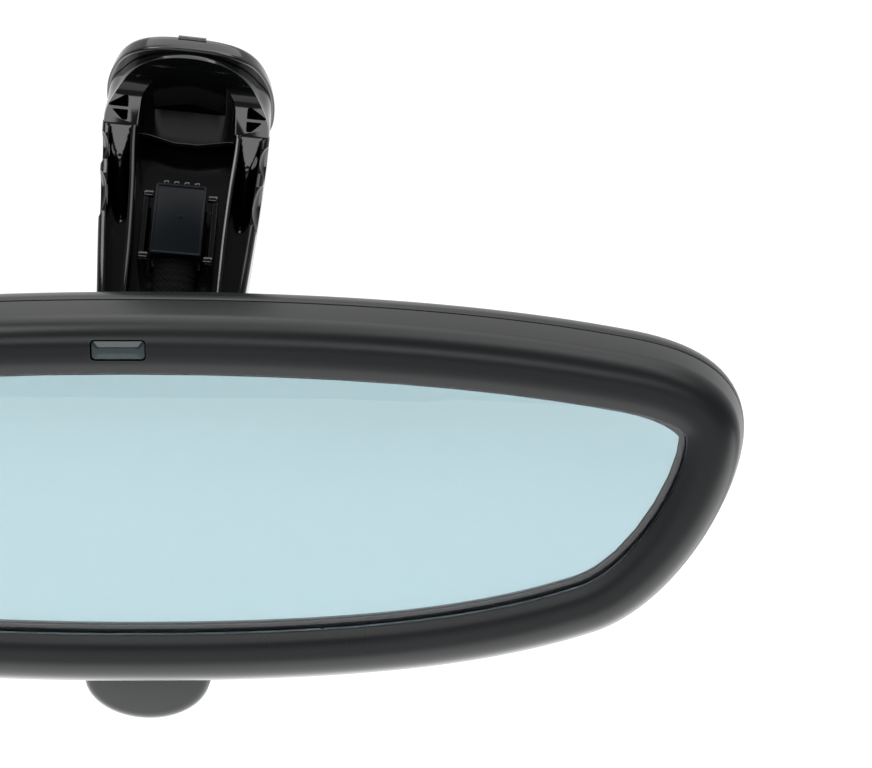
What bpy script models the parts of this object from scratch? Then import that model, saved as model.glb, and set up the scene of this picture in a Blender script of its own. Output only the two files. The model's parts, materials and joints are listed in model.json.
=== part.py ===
"""Interior rearview mirror: dimming glass head on a ball joint, channel arm and windscreen foot.

World frame: +X right, +Y away from the driver, +Z up. The origin is the point of the foot's top
face that meets the windscreen. The head and the arm are drawn in millimetres in frames of their
own: the head's origin is the head's centre in the plane of the bezel's front crest, and the arm's
origin is the ball centre, with +Z running up the arm, square to the windscreen.
"""
import math

import bmesh
import bpy
from mathutils import Matrix, Vector

MM = 0.001

# Head outline at the seam: right half as Bezier nodes (x, z, heading in degrees, handle in, handle out)
SEAM_NODES = [
    (0.0, 41.0, 0.0, 0.0, 49.4),
    (104.0, 32.9, -10.9, 21.6, 11.1),
    (127.2, 12.9, -90.0, 12.0, 12.8),
    (96.6, -30.1, -161.3, 18.2, 21.8),
    (0.0, -41.0, -180.0, 48.8, 0.0),
]
SAMPLES_PER_CURVE = (9, 8, 7, 10)

# Bezel section, measured outwards from the seam outline and back from the crest plane
CREST_INSET = 9.2
CREST_HALF_WIDTH = 1.0
ROUND_RADIUS = 6.5
FLANK_TAPER = math.radians(16.0)
SEAM_DEPTH = 11.5
LIP_INSET = 13.5
LIP_DEPTH = 1.35
LIP_THICKNESS = 0.9
WALL = 2.2

# Electrochromic glass stack
GLASS_INSET = 11.4
FRONT_GLASS = (2.6, 4.7)
SEAL = (5.0, 5.4)
REAR_GLASS = (5.7, 7.8)
FOAM = (8.1, 9.1)
CARRIER = (9.4, 11.2)

# Circuit board and sensors
BOARD = ((18.0, 13.0, -16.0), (78.0, 14.6, 18.0))
BOARD_HOLES = ((21.5, -12.5), (21.5, 14.5), (74.5, -12.5), (74.5, 14.5))
GLARE_LENS = ((-5.35, 0.1, 30.45), (5.35, 3.2, 34.25))
AMBIENT_Z = -44.5

# Rear housing
HOUSING_WALL = ((0.0, 11.8), (0.5, 14.5), (0.3, 17.5))
BACK_RISE = 10.5
BACK_ROUND = 0.4
HUMP_RISE = 12.5
HUMP_REACH = (34.0, 27.0)
HUMP_PLATEAU = 0.42
OPENING_RADIUS = 12.5
GROMMET_PLACE = (46.0, 28.0, 14.0)
POD_HALF_WIDTH = 13.0
POD_BOTTOM = -51.4
POD_TOP = -37.0
POD_DEPTH = (13.2, 26.0)

# Ball joint
BALL_CENTRE = (0.0, 34.0, 0.0)
BALL_RADIUS = 7.0
NECK_RADIUS = 3.6
CLEARANCE = 0.3
LINER_THICKNESS = 1.0
CUP_THICKNESS = 1.0
SOCKET_OUTER = 12.0
# Spans in degrees from the axis that points to the arm: far enough apart to pass at full tilt
LINER_ARC = (88.0, 168.0)
CUP_ARC = (80.0, 168.0)
RING_ARC = (56.0, 67.0)
STUD_FLANGE = (15.0, 17.0)
BOSS = (17.3, 25.0)

# Arm frame
ARM_LEAN = math.radians(30.0)
ARM_YAW = math.radians(8.0)
ARM_ROLL = math.radians(1.9)
FOOT_BASE = 93.4
FOOT_THICKNESS = 4.4
FOOT_FLOOR = 1.6
CHANNEL_FLOOR = 5.5
FLANGE_FRONT = -10.0
# Sections up the arm: level, front edge, channel floor, back, outer half width, channel half width
ARM_STATIONS = (
    (6.0, 16.5, 17.6, 26.0, 11.0, 5.0),
    (14.0, 11.0, 14.0, 24.0, 12.5, 6.5),
    (24.0, 0.0, 9.5, 17.0, 14.6, 8.5),
    (34.0, -9.0, CHANNEL_FLOOR, 10.5, 16.4, 9.9),
    (38.0, FLANGE_FRONT, CHANNEL_FLOOR, 9.5, 16.7, 10.0),
    (52.0, FLANGE_FRONT, CHANNEL_FLOOR, 9.0, 17.9, 10.2),
    (66.0, FLANGE_FRONT, CHANNEL_FLOOR, 9.0, 18.9, 10.8),
    (78.0, FLANGE_FRONT, CHANNEL_FLOOR, 9.0, 19.6, 11.6),
    (86.0, -10.5, CHANNEL_FLOOR, 9.5, 19.8, 11.5),
    (FOOT_BASE - 1.0, -12.0, CHANNEL_FLOOR, 10.5, 19.4, 11.0),
)
POCKET = ((13.7, -14.0, 80.4), (18.0, -6.5, 87.0))

# Right half of the foot's plan: x, y, heading in degrees, handle in, handle out
FOOT_NODES = (
    (0.0, -23.4, 0.0, 0.0, 8.0),
    (17.6, -14.0, 68.0, 9.0, 6.0),
    (20.6, 4.0, 90.0, 7.0, 5.0),
    (15.0, 16.0, 180.0, 5.0, 5.0),
    (0.0, 16.6, 180.0, 6.0, 0.0),
)
FOOT_MIDDLE_Y = -3.0
FOOT_SCREW = (15.5, 2.0)
SCREW_HOLE_RADIUS = 1.8
# Point of the foot's top face, in the arm frame, that is the model's origin
SEAT_POINT = (15.5, -7.0, FOOT_BASE + FOOT_THICKNESS)

# Wiring connector, in the arm frame
CONNECTOR_HALF_WIDTH = 5.85
CONNECTOR_Z = (49.0, 66.8)
CONNECTOR_Y = (-8.0, 1.5)

ARM_TURN = (
    Matrix.Rotation(ARM_ROLL, 4, "Y")
    @ Matrix.Rotation(-ARM_LEAN, 4, "X")
    @ Matrix.Rotation(ARM_YAW, 4, "Z")
)
SEAT_IN_HEAD = Vector(BALL_CENTRE) + ARM_TURN @ Vector(SEAT_POINT)

# Head frame and arm frame in the world
HEAD_FRAME = Matrix.Translation(-SEAT_IN_HEAD * MM)
JOINT_FRAME = HEAD_FRAME @ Matrix.Translation(Vector(BALL_CENTRE) * MM)
ARM_MATRIX = JOINT_FRAME @ ARM_TURN


def clear_scene():
    for obj in list(bpy.data.objects):
        bpy.data.objects.remove(obj, do_unlink=True)


def material(name, color, roughness, metallic=0.0, transmission=0.0):
    """Return a Principled material, made once for each name."""
    found = bpy.data.materials.get(name)
    if found:
        return found
    made = bpy.data.materials.new(name)
    made.use_nodes = True
    shader = made.node_tree.nodes["Principled BSDF"]
    shader.inputs["Base Color"].default_value = (*color, 1.0)
    shader.inputs["Roughness"].default_value = roughness
    shader.inputs["Metallic"].default_value = metallic
    shader.inputs["Transmission Weight"].default_value = transmission
    return made


def black_plastic():
    return material("gloss_black_plastic", (0.012, 0.013, 0.015), 0.22)


def grey_plastic():
    return material("satin_charcoal_plastic", (0.05, 0.048, 0.047), 0.45)


def steel():
    return material("steel", (0.55, 0.55, 0.56), 0.3, metallic=1.0)


def nylon():
    return material("natural_nylon", (0.75, 0.73, 0.68), 0.5)


def empty(name, matrix, parent=None):
    """Add an empty whose world matrix is the given one."""
    obj = bpy.data.objects.new(name, None)
    bpy.context.scene.collection.objects.link(obj)
    obj.parent = parent
    obj.matrix_world = matrix
    if parent:
        obj.matrix_local = parent.matrix_world.inverted() @ matrix
    bpy.context.view_layer.update()
    return obj


def add_object(name, mesh_data, finish, parent, frame):
    """Link a mesh drawn in the given frame, in millimetres, under a parent empty."""
    place = parent.matrix_world.inverted() @ frame @ Matrix.Scale(MM, 4)
    mesh_data.transform(place)
    obj = bpy.data.objects.new(name, mesh_data)
    bpy.context.scene.collection.objects.link(obj)
    obj.parent = parent
    mesh_data.materials.append(finish)
    mesh_data.shade_smooth()
    mesh_data.set_sharp_from_angle(angle=math.radians(35.0))
    return obj


def mesh_from(name, bm):
    bmesh.ops.recalc_face_normals(bm, faces=bm.faces)
    data = bpy.data.meshes.new(name)
    bm.to_mesh(data)
    bm.free()
    return data


def loft(bm, rings, close_rings=False):
    """Join rings of equal length with quads; cap the ends, or join the last ring to the first."""
    rows = [[bm.verts.new(point) for point in ring] for ring in rings]
    count = len(rows[0])
    pairs = list(zip(rows, rows[1:]))
    if close_rings:
        pairs.append((rows[-1], rows[0]))
    for low, high in pairs:
        for k in range(count):
            after = (k + 1) % count
            bm.faces.new((low[k], low[after], high[after], high[k]))
    if not close_rings:
        bm.faces.new(rows[0][::-1])
        bm.faces.new(rows[-1])


def loft_mesh(name, rings, close_rings=False):
    bm = bmesh.new()
    loft(bm, rings, close_rings)
    return mesh_from(name, bm)


def bezier(start, end, samples):
    """Points along one cubic between two nodes, leaving out its end point."""
    x0, z0, heading0, _, out = start
    x1, z1, heading1, back, _ = end
    p0 = Vector((x0, z0))
    p3 = Vector((x1, z1))
    p1 = p0 + out * Vector((math.cos(math.radians(heading0)), math.sin(math.radians(heading0))))
    p2 = p3 - back * Vector((math.cos(math.radians(heading1)), math.sin(math.radians(heading1))))
    points = []
    for k in range(samples):
        t = k / samples
        s = 1.0 - t
        points.append(s ** 3 * p0 + 3 * s * s * t * p1 + 3 * s * t * t * p2 + t ** 3 * p3)
    return points


def seam_outline():
    """The whole head outline at the seam, clockwise from the top centre as the driver sees it."""
    half = []
    for k, samples in enumerate(SAMPLES_PER_CURVE):
        half += bezier(SEAM_NODES[k], SEAM_NODES[k + 1], samples)
    bottom = Vector((SEAM_NODES[-1][0], SEAM_NODES[-1][1]))
    mirrored = [Vector((-point.x, point.y)) for point in half[:0:-1]]
    return half + [bottom] + mirrored


OUTLINE = seam_outline()


def outline_normal(k):
    before = OUTLINE[k - 1]
    after = OUTLINE[(k + 1) % len(OUTLINE)]
    along = (after - before).normalized()
    return Vector((-along.y, along.x))


NORMALS = [outline_normal(k) for k in range(len(OUTLINE))]


def head_ring(offset, depth):
    """The seam outline moved outwards by an offset, at a depth behind the crest plane."""
    ring = []
    for point, normal in zip(OUTLINE, NORMALS):
        moved = point + normal * offset
        ring.append((moved.x, depth, moved.y))
    return ring


def slab(name, inset, depths, edge=0.3):
    """A plate with the head's outline, with a small chamfer around both faces."""
    front, back = depths
    rings = [
        head_ring(-inset - edge, front),
        head_ring(-inset, front + edge),
        head_ring(-inset, back - edge),
        head_ring(-inset - edge, back),
    ]
    return loft_mesh(name, rings)


def box_mesh(name, low, high, chamfer=0.4):
    """A box with chamfered edges between two corners."""
    bm = bmesh.new()
    bmesh.ops.create_cube(bm, size=1.0)
    for vert in bm.verts:
        for axis in range(3):
            vert.co[axis] = low[axis] if vert.co[axis] < 0.0 else high[axis]
    if chamfer:
        bmesh.ops.bevel(
            bm, geom=list(bm.edges), offset=chamfer, segments=1, affect="EDGES", profile=0.5
        )
    return mesh_from(name, bm)


def turned_mesh(name, profile, centre, direction, segments=22, closed=False):
    """Turn a profile of (radius, distance) about an axis; a closed profile makes a ring."""
    axis = Vector(direction).normalized()
    side = axis.orthogonal().normalized()
    other = axis.cross(side)
    origin = Vector(centre)
    rings = []
    for radius, distance in profile:
        ring = []
        for k in range(segments):
            angle = 2.0 * math.pi * k / segments
            arm = side * math.cos(angle) + other * math.sin(angle)
            ring.append(origin + axis * distance + arm * radius)
        rings.append(ring)
    return loft_mesh(name, rings, close_rings=closed)


def arc(radius, start, end, steps):
    """Arc as (radius from axis, distance along axis), by angle from the axis in degrees."""
    points = []
    for k in range(steps + 1):
        angle = math.radians(start + (end - start) * k / steps)
        points.append((radius * math.sin(angle), radius * math.cos(angle)))
    return points


def cut(obj, cutter_mesh, frame, operation="DIFFERENCE"):
    """Apply one exact Boolean with a mesh drawn in the given frame."""
    tool = bpy.data.objects.new("cutter", cutter_mesh)
    bpy.context.scene.collection.objects.link(tool)
    tool.hide_render = True
    tool.display_type = "WIRE"
    cutter_mesh.transform(Matrix.Scale(MM, 4))
    tool.matrix_world = frame
    modifier = obj.modifiers.new("cut", "BOOLEAN")
    modifier.operation = operation
    modifier.solver = "EXACT"
    modifier.object = tool
    bpy.context.view_layer.update()
    graph = bpy.context.evaluated_depsgraph_get()
    result = bpy.data.meshes.new_from_object(obj.evaluated_get(graph))
    obj.modifiers.clear()
    obj.data = result
    bpy.data.objects.remove(tool, do_unlink=True)


def bezel(head):
    """The front frame: an inner lip and chamfer, a crest, a rounded shoulder and a tapered flank."""
    round_centre = -CREST_INSET + CREST_HALF_WIDTH
    profile = [
        (-LIP_INSET, LIP_DEPTH),
        (-CREST_INSET - CREST_HALF_WIDTH, 0.1),
        (-CREST_INSET, 0.0),
    ]
    steps = 5
    for k in range(steps + 1):
        angle = math.pi / 2 + (FLANK_TAPER - math.pi / 2) * k / steps
        offset = round_centre + ROUND_RADIUS * math.cos(angle)
        profile.append((offset, ROUND_RADIUS * (1.0 - math.sin(angle))))
    shelf = -GLASS_INSET + CLEARANCE
    profile += [
        (0.0, SEAM_DEPTH),
        (-WALL, SEAM_DEPTH),
        (-2.0 * WALL, 7.0),
        (shelf + WALL, 5.2),
        (shelf + WALL, 8.0),
        (shelf, 8.0),
        (shelf, LIP_DEPTH + LIP_THICKNESS),
        (-LIP_INSET, LIP_DEPTH + LIP_THICKNESS),
    ]
    rings = [head_ring(offset, depth) for offset, depth in profile]
    obj = add_object("bezel", loft_mesh("bezel", rings, True), grey_plastic(), head, HEAD_FRAME)
    low, high = GLARE_LENS
    window_low = (low[0] - CLEARANCE, -2.0, low[2] - CLEARANCE)
    window_high = (high[0] + CLEARANCE, 9.0, high[2] + CLEARANCE)
    window = box_mesh("window", window_low, window_high, chamfer=0.0)
    cut(obj, window, HEAD_FRAME)


def housing_ring(blend, wall):
    """One ring of the housing's back, between the rim and the round opening."""
    offset = HOUSING_WALL[-1][0] - wall
    turn = min(blend / BACK_ROUND, 1.0) * math.pi / 2
    ring = []
    for point, normal in zip(OUTLINE, NORMALS):
        rim = point + normal * offset
        angle = math.atan2(point.y / SEAM_NODES[0][1], point.x / SEAM_NODES[2][0])
        hole = OPENING_RADIUS * Vector((math.cos(angle), math.sin(angle)))
        place = rim.lerp(hole, blend)
        reach = math.hypot(place.x / HUMP_REACH[0], place.y / HUMP_REACH[1])
        slope = min(max((reach - HUMP_PLATEAU) / (1.0 - HUMP_PLATEAU), 0.0), 1.0)
        hump = HUMP_RISE * math.cos(slope * math.pi / 2) ** 2
        depth = HOUSING_WALL[-1][1] - wall + BACK_RISE * math.sin(turn) + hump
        ring.append((place.x, depth, place.y))
    return ring


def pod_ring(inset, depth, top):
    """Outline of the pod under the head: straight sides, round corners and a crowned bottom."""
    width = POD_HALF_WIDTH - inset
    bottom = POD_BOTTOM + inset
    side = bottom + 8.5
    right = [(width, top), (width, side)]
    for k in range(1, 6):
        angle = math.radians(90.0 * k / 6)
        right.append((width * math.cos(angle) ** 0.62, side - 8.5 * math.sin(angle) ** 1.25))
    points = right + [(0.0, bottom)] + [(-x, z) for x, z in right[::-1]]
    return [(x, depth, z) for x, z in points]


def rear_housing(head):
    """The back shell, with a hump around the ball joint and a hollow pod at the bottom."""
    blends = (0.05, 0.13, 0.25, 0.4, 0.57, 0.72, 0.83, 0.92, 1.0)
    outer = [head_ring(offset, depth) for offset, depth in HOUSING_WALL]
    outer += [housing_ring(blend, 0.0) for blend in blends]
    inner = [housing_ring(blend, WALL) for blend in reversed(blends)]
    inner += [head_ring(offset - WALL, depth) for offset, depth in reversed(HOUSING_WALL)]
    mesh_data = loft_mesh("rear_housing", outer + inner, True)
    obj = add_object("rear_housing", mesh_data, grey_plastic(), head, HEAD_FRAME)
    front, back = POD_DEPTH
    block = [
        pod_ring(1.2, front, POD_TOP),
        pod_ring(0.0, front + 1.5, POD_TOP),
        pod_ring(0.0, back - 3.0, POD_TOP),
        pod_ring(2.0, back, POD_TOP),
    ]
    cut(obj, loft_mesh("pod", block), HEAD_FRAME, "UNION")
    hollow = [pod_ring(2.0, front + 2.0, -33.0), pod_ring(2.0, back - 2.6, -33.0)]
    cut(obj, loft_mesh("pod_hollow", hollow), HEAD_FRAME)
    port = turned_mesh("port", [(4.1, 0.0), (4.1, 8.0)], (0.0, 21.0, AMBIENT_Z), (0, 1, 0), 24)
    cut(obj, port, HEAD_FRAME)
    hole = turned_mesh("hole", [(3.5, -8.0), (3.5, 8.0)], GROMMET_PLACE, (0, 1, 0), 24)
    cut(obj, hole, HEAD_FRAME)


def glass_stack(head):
    clear = material("clear_glass", (0.93, 0.97, 0.96), 0.02, transmission=1.0)
    add_object("ec_front_glass", slab("front", GLASS_INSET, FRONT_GLASS), clear, head, HEAD_FRAME)
    seal = [
        head_ring(-GLASS_INSET - 1.0, SEAL[0]),
        head_ring(-GLASS_INSET - 1.0, SEAL[1]),
        head_ring(-GLASS_INSET - 3.0, SEAL[1]),
        head_ring(-GLASS_INSET - 3.0, SEAL[0]),
    ]
    epoxy = material("dark_epoxy", (0.04, 0.04, 0.045), 0.4)
    add_object("ec_seal", loft_mesh("seal", seal, True), epoxy, head, HEAD_FRAME)
    silver = material("mirror_silver", (0.85, 0.9, 0.92), 0.02, metallic=1.0)
    add_object("ec_rear_glass", slab("rear", GLASS_INSET, REAR_GLASS), silver, head, HEAD_FRAME)
    foam = material("black_foam", (0.02, 0.02, 0.02), 0.95)
    pad = [[(0.84 * x, depth, 0.56 * z) for x, _, z in head_ring(0.0, 0.0)] for depth in FOAM]
    add_object("foam_pad", loft_mesh("foam", pad), foam, head, HEAD_FRAME)


def bus_clips(head):
    """Spring clips of tinned copper along the top and the bottom edge of the rear glass."""
    copper = material("tinned_copper", (0.62, 0.5, 0.4), 0.35, metallic=1.0)
    half_length = 62.0
    for name, side, level in (("bus_clip_top", 1.0, 26.0), ("bus_clip_bottom", -1.0, 24.6)):
        rows = []
        for x in (-half_length, half_length):
            section = ((8.1, level - 1.5), (8.1, level), (8.4, level), (8.4, level - 1.1),
                       (9.1, level - 1.1), (9.1, level - 1.5))
            rows.append([(x, y, side * z) for y, z in section])
        add_object(name, loft_mesh(name, rows), copper, head, HEAD_FRAME)


def carrier_and_board(head):
    obj = add_object("glass_carrier", slab("carrier", GLASS_INSET + 1.6, CARRIER, 0.4),
                     black_plastic(), head, HEAD_FRAME)
    for x in (-62.0, 62.0):
        cut(obj, box_mesh("slot", (x - 18.0, 8.0, -9.0), (x + 18.0, 12.0, 9.0), 0.0), HEAD_FRAME)
    cut(obj, box_mesh("sensor_notch", (-7.0, 8.0, 20.0), (7.0, 12.0, 40.0), 0.0), HEAD_FRAME)
    fibreglass = material("green_laminate", (0.02, 0.16, 0.07), 0.45)
    board = add_object("circuit_board", box_mesh("board", *BOARD, 0.2),
                       fibreglass, head, HEAD_FRAME)
    for x, z in BOARD_HOLES:
        hole = turned_mesh("hole", [(1.7, 0.0), (1.7, 4.0)], (x, 12.0, z), (0, 1, 0), 12)
        cut(board, hole, HEAD_FRAME)
    resin = material("black_resin", (0.015, 0.015, 0.016), 0.35)
    add_object("control_chip", box_mesh("chip", (38.0, 14.9, -8.0), (50.0, 16.7, 4.0), 0.3),
               resin, head, HEAD_FRAME)
    add_object("board_header", box_mesh("header", (58.0, 14.9, -4.0), (72.0, 21.0, 6.0), 0.5),
               nylon(), head, HEAD_FRAME)


def board_screws(head):
    """Four pan-head screws that stand in the corners of the board."""
    profile = [(1.3, 11.6), (1.3, 14.9), (2.6, 14.9), (2.6, 15.7), (1.8, 16.4)]
    for k, (x, z) in enumerate(BOARD_HOLES):
        name = f"board_screw_{k + 1}"
        screw = turned_mesh(name, profile, (x, 0.0, z), (0, 1, 0), 12)
        add_object(name, screw, steel(), head, HEAD_FRAME)


def sensors(head):
    """Glare sensor behind its window in the crest, and ambient sensor behind the pod's port."""
    smoked = material("smoked_clear", (0.2, 0.3, 0.32), 0.03, transmission=0.9)
    dark = material("sensor_resin", (0.02, 0.05, 0.05), 0.2)
    add_object("glare_sensor_lens", box_mesh("lens", *GLARE_LENS, 0.5),
               smoked, head, HEAD_FRAME)
    add_object("glare_sensor", box_mesh("glare", (-4.0, 3.6, 30.9), (4.0, 7.0, 33.8), 0.3),
               dark, head, HEAD_FRAME)
    lens = [(2.0, 25.2), (3.2, 25.0), (3.7, 24.3), (3.7, 22.4), (2.4, 22.4)]
    place = (0.0, 0.0, AMBIENT_Z)
    add_object("ambient_sensor_lens", turned_mesh("lens", lens[::-1], place, (0, 1, 0), 24),
               smoked, head, HEAD_FRAME)
    low = (-2.6, 18.5, AMBIENT_Z - 2.1)
    high = (2.6, 22.0, AMBIENT_Z + 2.1)
    add_object("ambient_sensor", box_mesh("ambient", low, high, 0.3), dark, head, HEAD_FRAME)


def ball_joint(head, tilt, swing, arm):
    """Ball stud, liner, pressure cup, socket block, spring and retainer, all around one centre."""
    toward_arm = (0.0, 1.0, 0.0)
    centre = BALL_CENTRE
    neck_start = math.degrees(math.asin(NECK_RADIUS / BALL_RADIUS))
    stud = arc(BALL_RADIUS, 174.0, neck_start, 9)
    stud += [
        (NECK_RADIUS, STUD_FLANGE[0] - 0.6),
        (6.5, STUD_FLANGE[0]),
        (6.5, STUD_FLANGE[1]),
        (4.0, STUD_FLANGE[1]),
        (4.0, 29.6),
        (3.4, 30.2),
    ]
    add_object("ball_stud", turned_mesh("stud", stud, centre, toward_arm), steel(), arm, HEAD_FRAME)
    hexagon = [(7.4, 25.3), (7.4, 28.8), (6.6, 29.4)]
    nut = add_object("stud_nut", turned_mesh("nut", hexagon, centre, toward_arm, 6), steel(), arm, HEAD_FRAME)
    cut(nut, turned_mesh("thread", [(4.3, 20.0), (4.3, 35.0)], centre, toward_arm, 24), HEAD_FRAME)
    liner_in = BALL_RADIUS + CLEARANCE
    liner_out = liner_in + LINER_THICKNESS
    liner = arc(liner_in, LINER_ARC[1], LINER_ARC[0], 5) + arc(liner_out, *LINER_ARC, 5)
    add_object("socket_liner", turned_mesh("liner", liner, centre, toward_arm, 22, True),
               nylon(), swing, HEAD_FRAME)
    cup_in = liner_out + CLEARANCE
    cup_out = cup_in + CUP_THICKNESS
    cup = arc(cup_in, CUP_ARC[1], CUP_ARC[0], 5) + arc(cup_out, *CUP_ARC, 5)
    add_object("pressure_cup", turned_mesh("cup", cup, centre, toward_arm, 22, True),
               steel(), tilt, HEAD_FRAME)
    bore = cup_out + CLEARANCE
    socket = [
        (bore, -13.0), (bore, 3.0), (bore + 1.9, 3.0), (SOCKET_OUTER - 0.1, 2.4), (SOCKET_OUTER, -16.0),
        (16.5, -17.0), (16.5, -20.0), (bore - 4.0, -20.0), (bore - 4.0, -13.0),
    ]
    add_object("socket_block", turned_mesh("socket", socket, centre, toward_arm, 32, True),
               black_plastic(), head, HEAD_FRAME)
    spring = [(4.0, -12.7), (4.0, -12.2), (bore - 0.3, -11.2), (bore - 0.3, -11.7)]
    add_object("pressure_spring", turned_mesh("spring", spring, centre, toward_arm, 22, True),
               steel(), head, HEAD_FRAME)
    seat = BALL_RADIUS + CLEARANCE
    ring = arc(seat, RING_ARC[1], RING_ARC[0], 3)
    ring += [(7.1, 6.0), (SOCKET_OUTER - 0.2, 5.4), (SOCKET_OUTER - 0.2, 3.3), (bore - 1.1, 3.3)]
    add_object("retainer_ring", turned_mesh("ring", ring, centre, toward_arm, 32, True),
               steel(), head, HEAD_FRAME)


def channel_ring(level, front, floor, back, outer, inner):
    """One U-shaped section across the arm, open to the front, with chamfered outer corners."""
    edge = 1.2
    right = [
        (inner, floor),
        (inner, front + 0.6),
        (inner + 0.6, front),
        (outer - edge, front),
        (outer, front + edge),
        (outer, back - edge),
        (outer - edge, back),
    ]
    left = [(-x, y) for x, y in right[::-1]]
    return [(x, y, level) for x, y in right + left]


def mirror_arm(arm):
    """The channel arm, narrow at the ball stud's boss and wide under the foot."""
    rings = [channel_ring(*station) for station in ARM_STATIONS]
    obj = add_object("mirror_arm", loft_mesh("arm", rings), black_plastic(), arm, ARM_MATRIX)
    top_plate = [foot_outline(1.6, FOOT_BASE - 2.6), foot_outline(1.2, FOOT_BASE - CLEARANCE)]
    cut(obj, loft_mesh("top_plate", top_plate), ARM_MATRIX, "UNION")
    boss = turned_mesh("boss", [(9.5, BOSS[0]), (9.5, BOSS[1])], BALL_CENTRE, (0, 1, 0), 32)
    cut(obj, boss, HEAD_FRAME, "UNION")
    bore = turned_mesh("bore", [(4.3, 10.0), (4.3, 40.0)], BALL_CENTRE, (0, 1, 0), 24)
    cut(obj, bore, HEAD_FRAME)
    flange_relief = [(8.2, 9.0), (8.2, BOSS[0])]
    nut_relief = [(9.6, BOSS[1]), (9.6, 40.0)]
    for profile in (flange_relief, nut_relief):
        cut(obj, turned_mesh("relief", profile, BALL_CENTRE, (0, 1, 0), 32), HEAD_FRAME)
    near, far = POCKET
    for side in (-1.0, 1.0):
        edges = sorted((side * near[0], side * far[0]))
        pocket = box_mesh("pocket", (edges[0], *near[1:]), (edges[1], *far[1:]), 0.0)
        cut(obj, pocket, ARM_MATRIX)
        cut(obj, screw_hole(side, SCREW_HOLE_RADIUS, 76.0, 95.0, 12), ARM_MATRIX)


def screw_hole(side, radius, start, end, segments):
    """Cutter for one of the foot's two screw holes, between two levels of the arm frame."""
    place = (side * FOOT_SCREW[0], FOOT_SCREW[1], 0.0)
    return turned_mesh("hole", [(radius, start), (radius, end)], place, (0, 0, 1), segments)


def foot_outline(inset, level):
    """Plan of the foot: a crowned front edge, round shoulders, flaring sides and a flat far edge."""
    half = []
    for start, end in zip(FOOT_NODES, FOOT_NODES[1:]):
        half += bezier(start, end, 5)
    last = Vector(FOOT_NODES[-1][:2])
    points = half + [last] + [Vector((-point.x, point.y)) for point in half[:0:-1]]
    reach = 20.0
    shrink = 1.0 - inset / reach
    ring = []
    for point in points:
        y = FOOT_MIDDLE_Y + (point.y - FOOT_MIDDLE_Y) * shrink
        ring.append((point.x * shrink, y, level))
    return ring


def windscreen_foot(arm):
    """The foot's body, with a recess in its top for the spring and the windscreen button."""
    top = FOOT_BASE + FOOT_THICKNESS
    rings = [
        foot_outline(0.9, FOOT_BASE),
        foot_outline(0.0, FOOT_BASE + 1.0),
        foot_outline(0.1, top - 1.2),
        foot_outline(1.2, top),
    ]
    obj = add_object("windscreen_foot", loft_mesh("foot", rings), black_plastic(), arm, ARM_MATRIX)
    recess = box_mesh("recess", (-12.0, -17.0, FOOT_BASE + FOOT_FLOOR), (12.0, 11.0, top + 3.0), 0.0)
    cut(obj, recess, ARM_MATRIX)
    for side in (-1.0, 1.0):
        cut(obj, screw_hole(side, SCREW_HOLE_RADIUS, 85.0, 110.0, 12), ARM_MATRIX)
        cut(obj, screw_hole(side, 2.0 * SCREW_HOLE_RADIUS, top - 2.4, 110.0, 16), ARM_MATRIX)
    notch = box_mesh("notch", (-3.8, -30.0, top - 1.4), (3.8, -15.0, top + 3.0), 0.0)
    cut(obj, notch, ARM_MATRIX)


def foot_hardware(arm):
    """The spring that grips the windscreen button, and the two screws that hold the foot."""
    top = FOOT_BASE + FOOT_THICKNESS
    floor = FOOT_BASE + FOOT_FLOOR + CLEARANCE
    leaf = [
        (10.4, floor), (-14.8, floor), (-16.4, top - 1.0), (-23.4, top - 0.8), (-23.4, top + 0.5),
        (-15.6, top + 0.1), (-14.2, floor + 0.8), (10.4, floor + 0.8),
    ]
    half_width = 3.2
    rows = [[(x, y, z) for y, z in leaf] for x in (-half_width, half_width)]
    spring = add_object("mount_spring", loft_mesh("spring", rows), steel(), arm, ARM_MATRIX)
    wide = box_mesh("wide", (-10.6, -8.0, floor), (10.6, 9.6, floor + 0.8), 0.0)
    cut(spring, wide, ARM_MATRIX, "UNION")
    profile = [(1.5, 78.0), (1.5, top - 2.1), (3.2, top - 2.1), (3.2, top - 1.0), (2.4, top - 0.6)]
    for name, side in (("foot_screw_left", -1.0), ("foot_screw_right", 1.0)):
        place = (side * FOOT_SCREW[0], FOOT_SCREW[1], 0.0)
        screw = turned_mesh(name, profile, place, (0, 0, 1), 14)
        add_object(name, screw, steel(), arm, ARM_MATRIX)


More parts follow.
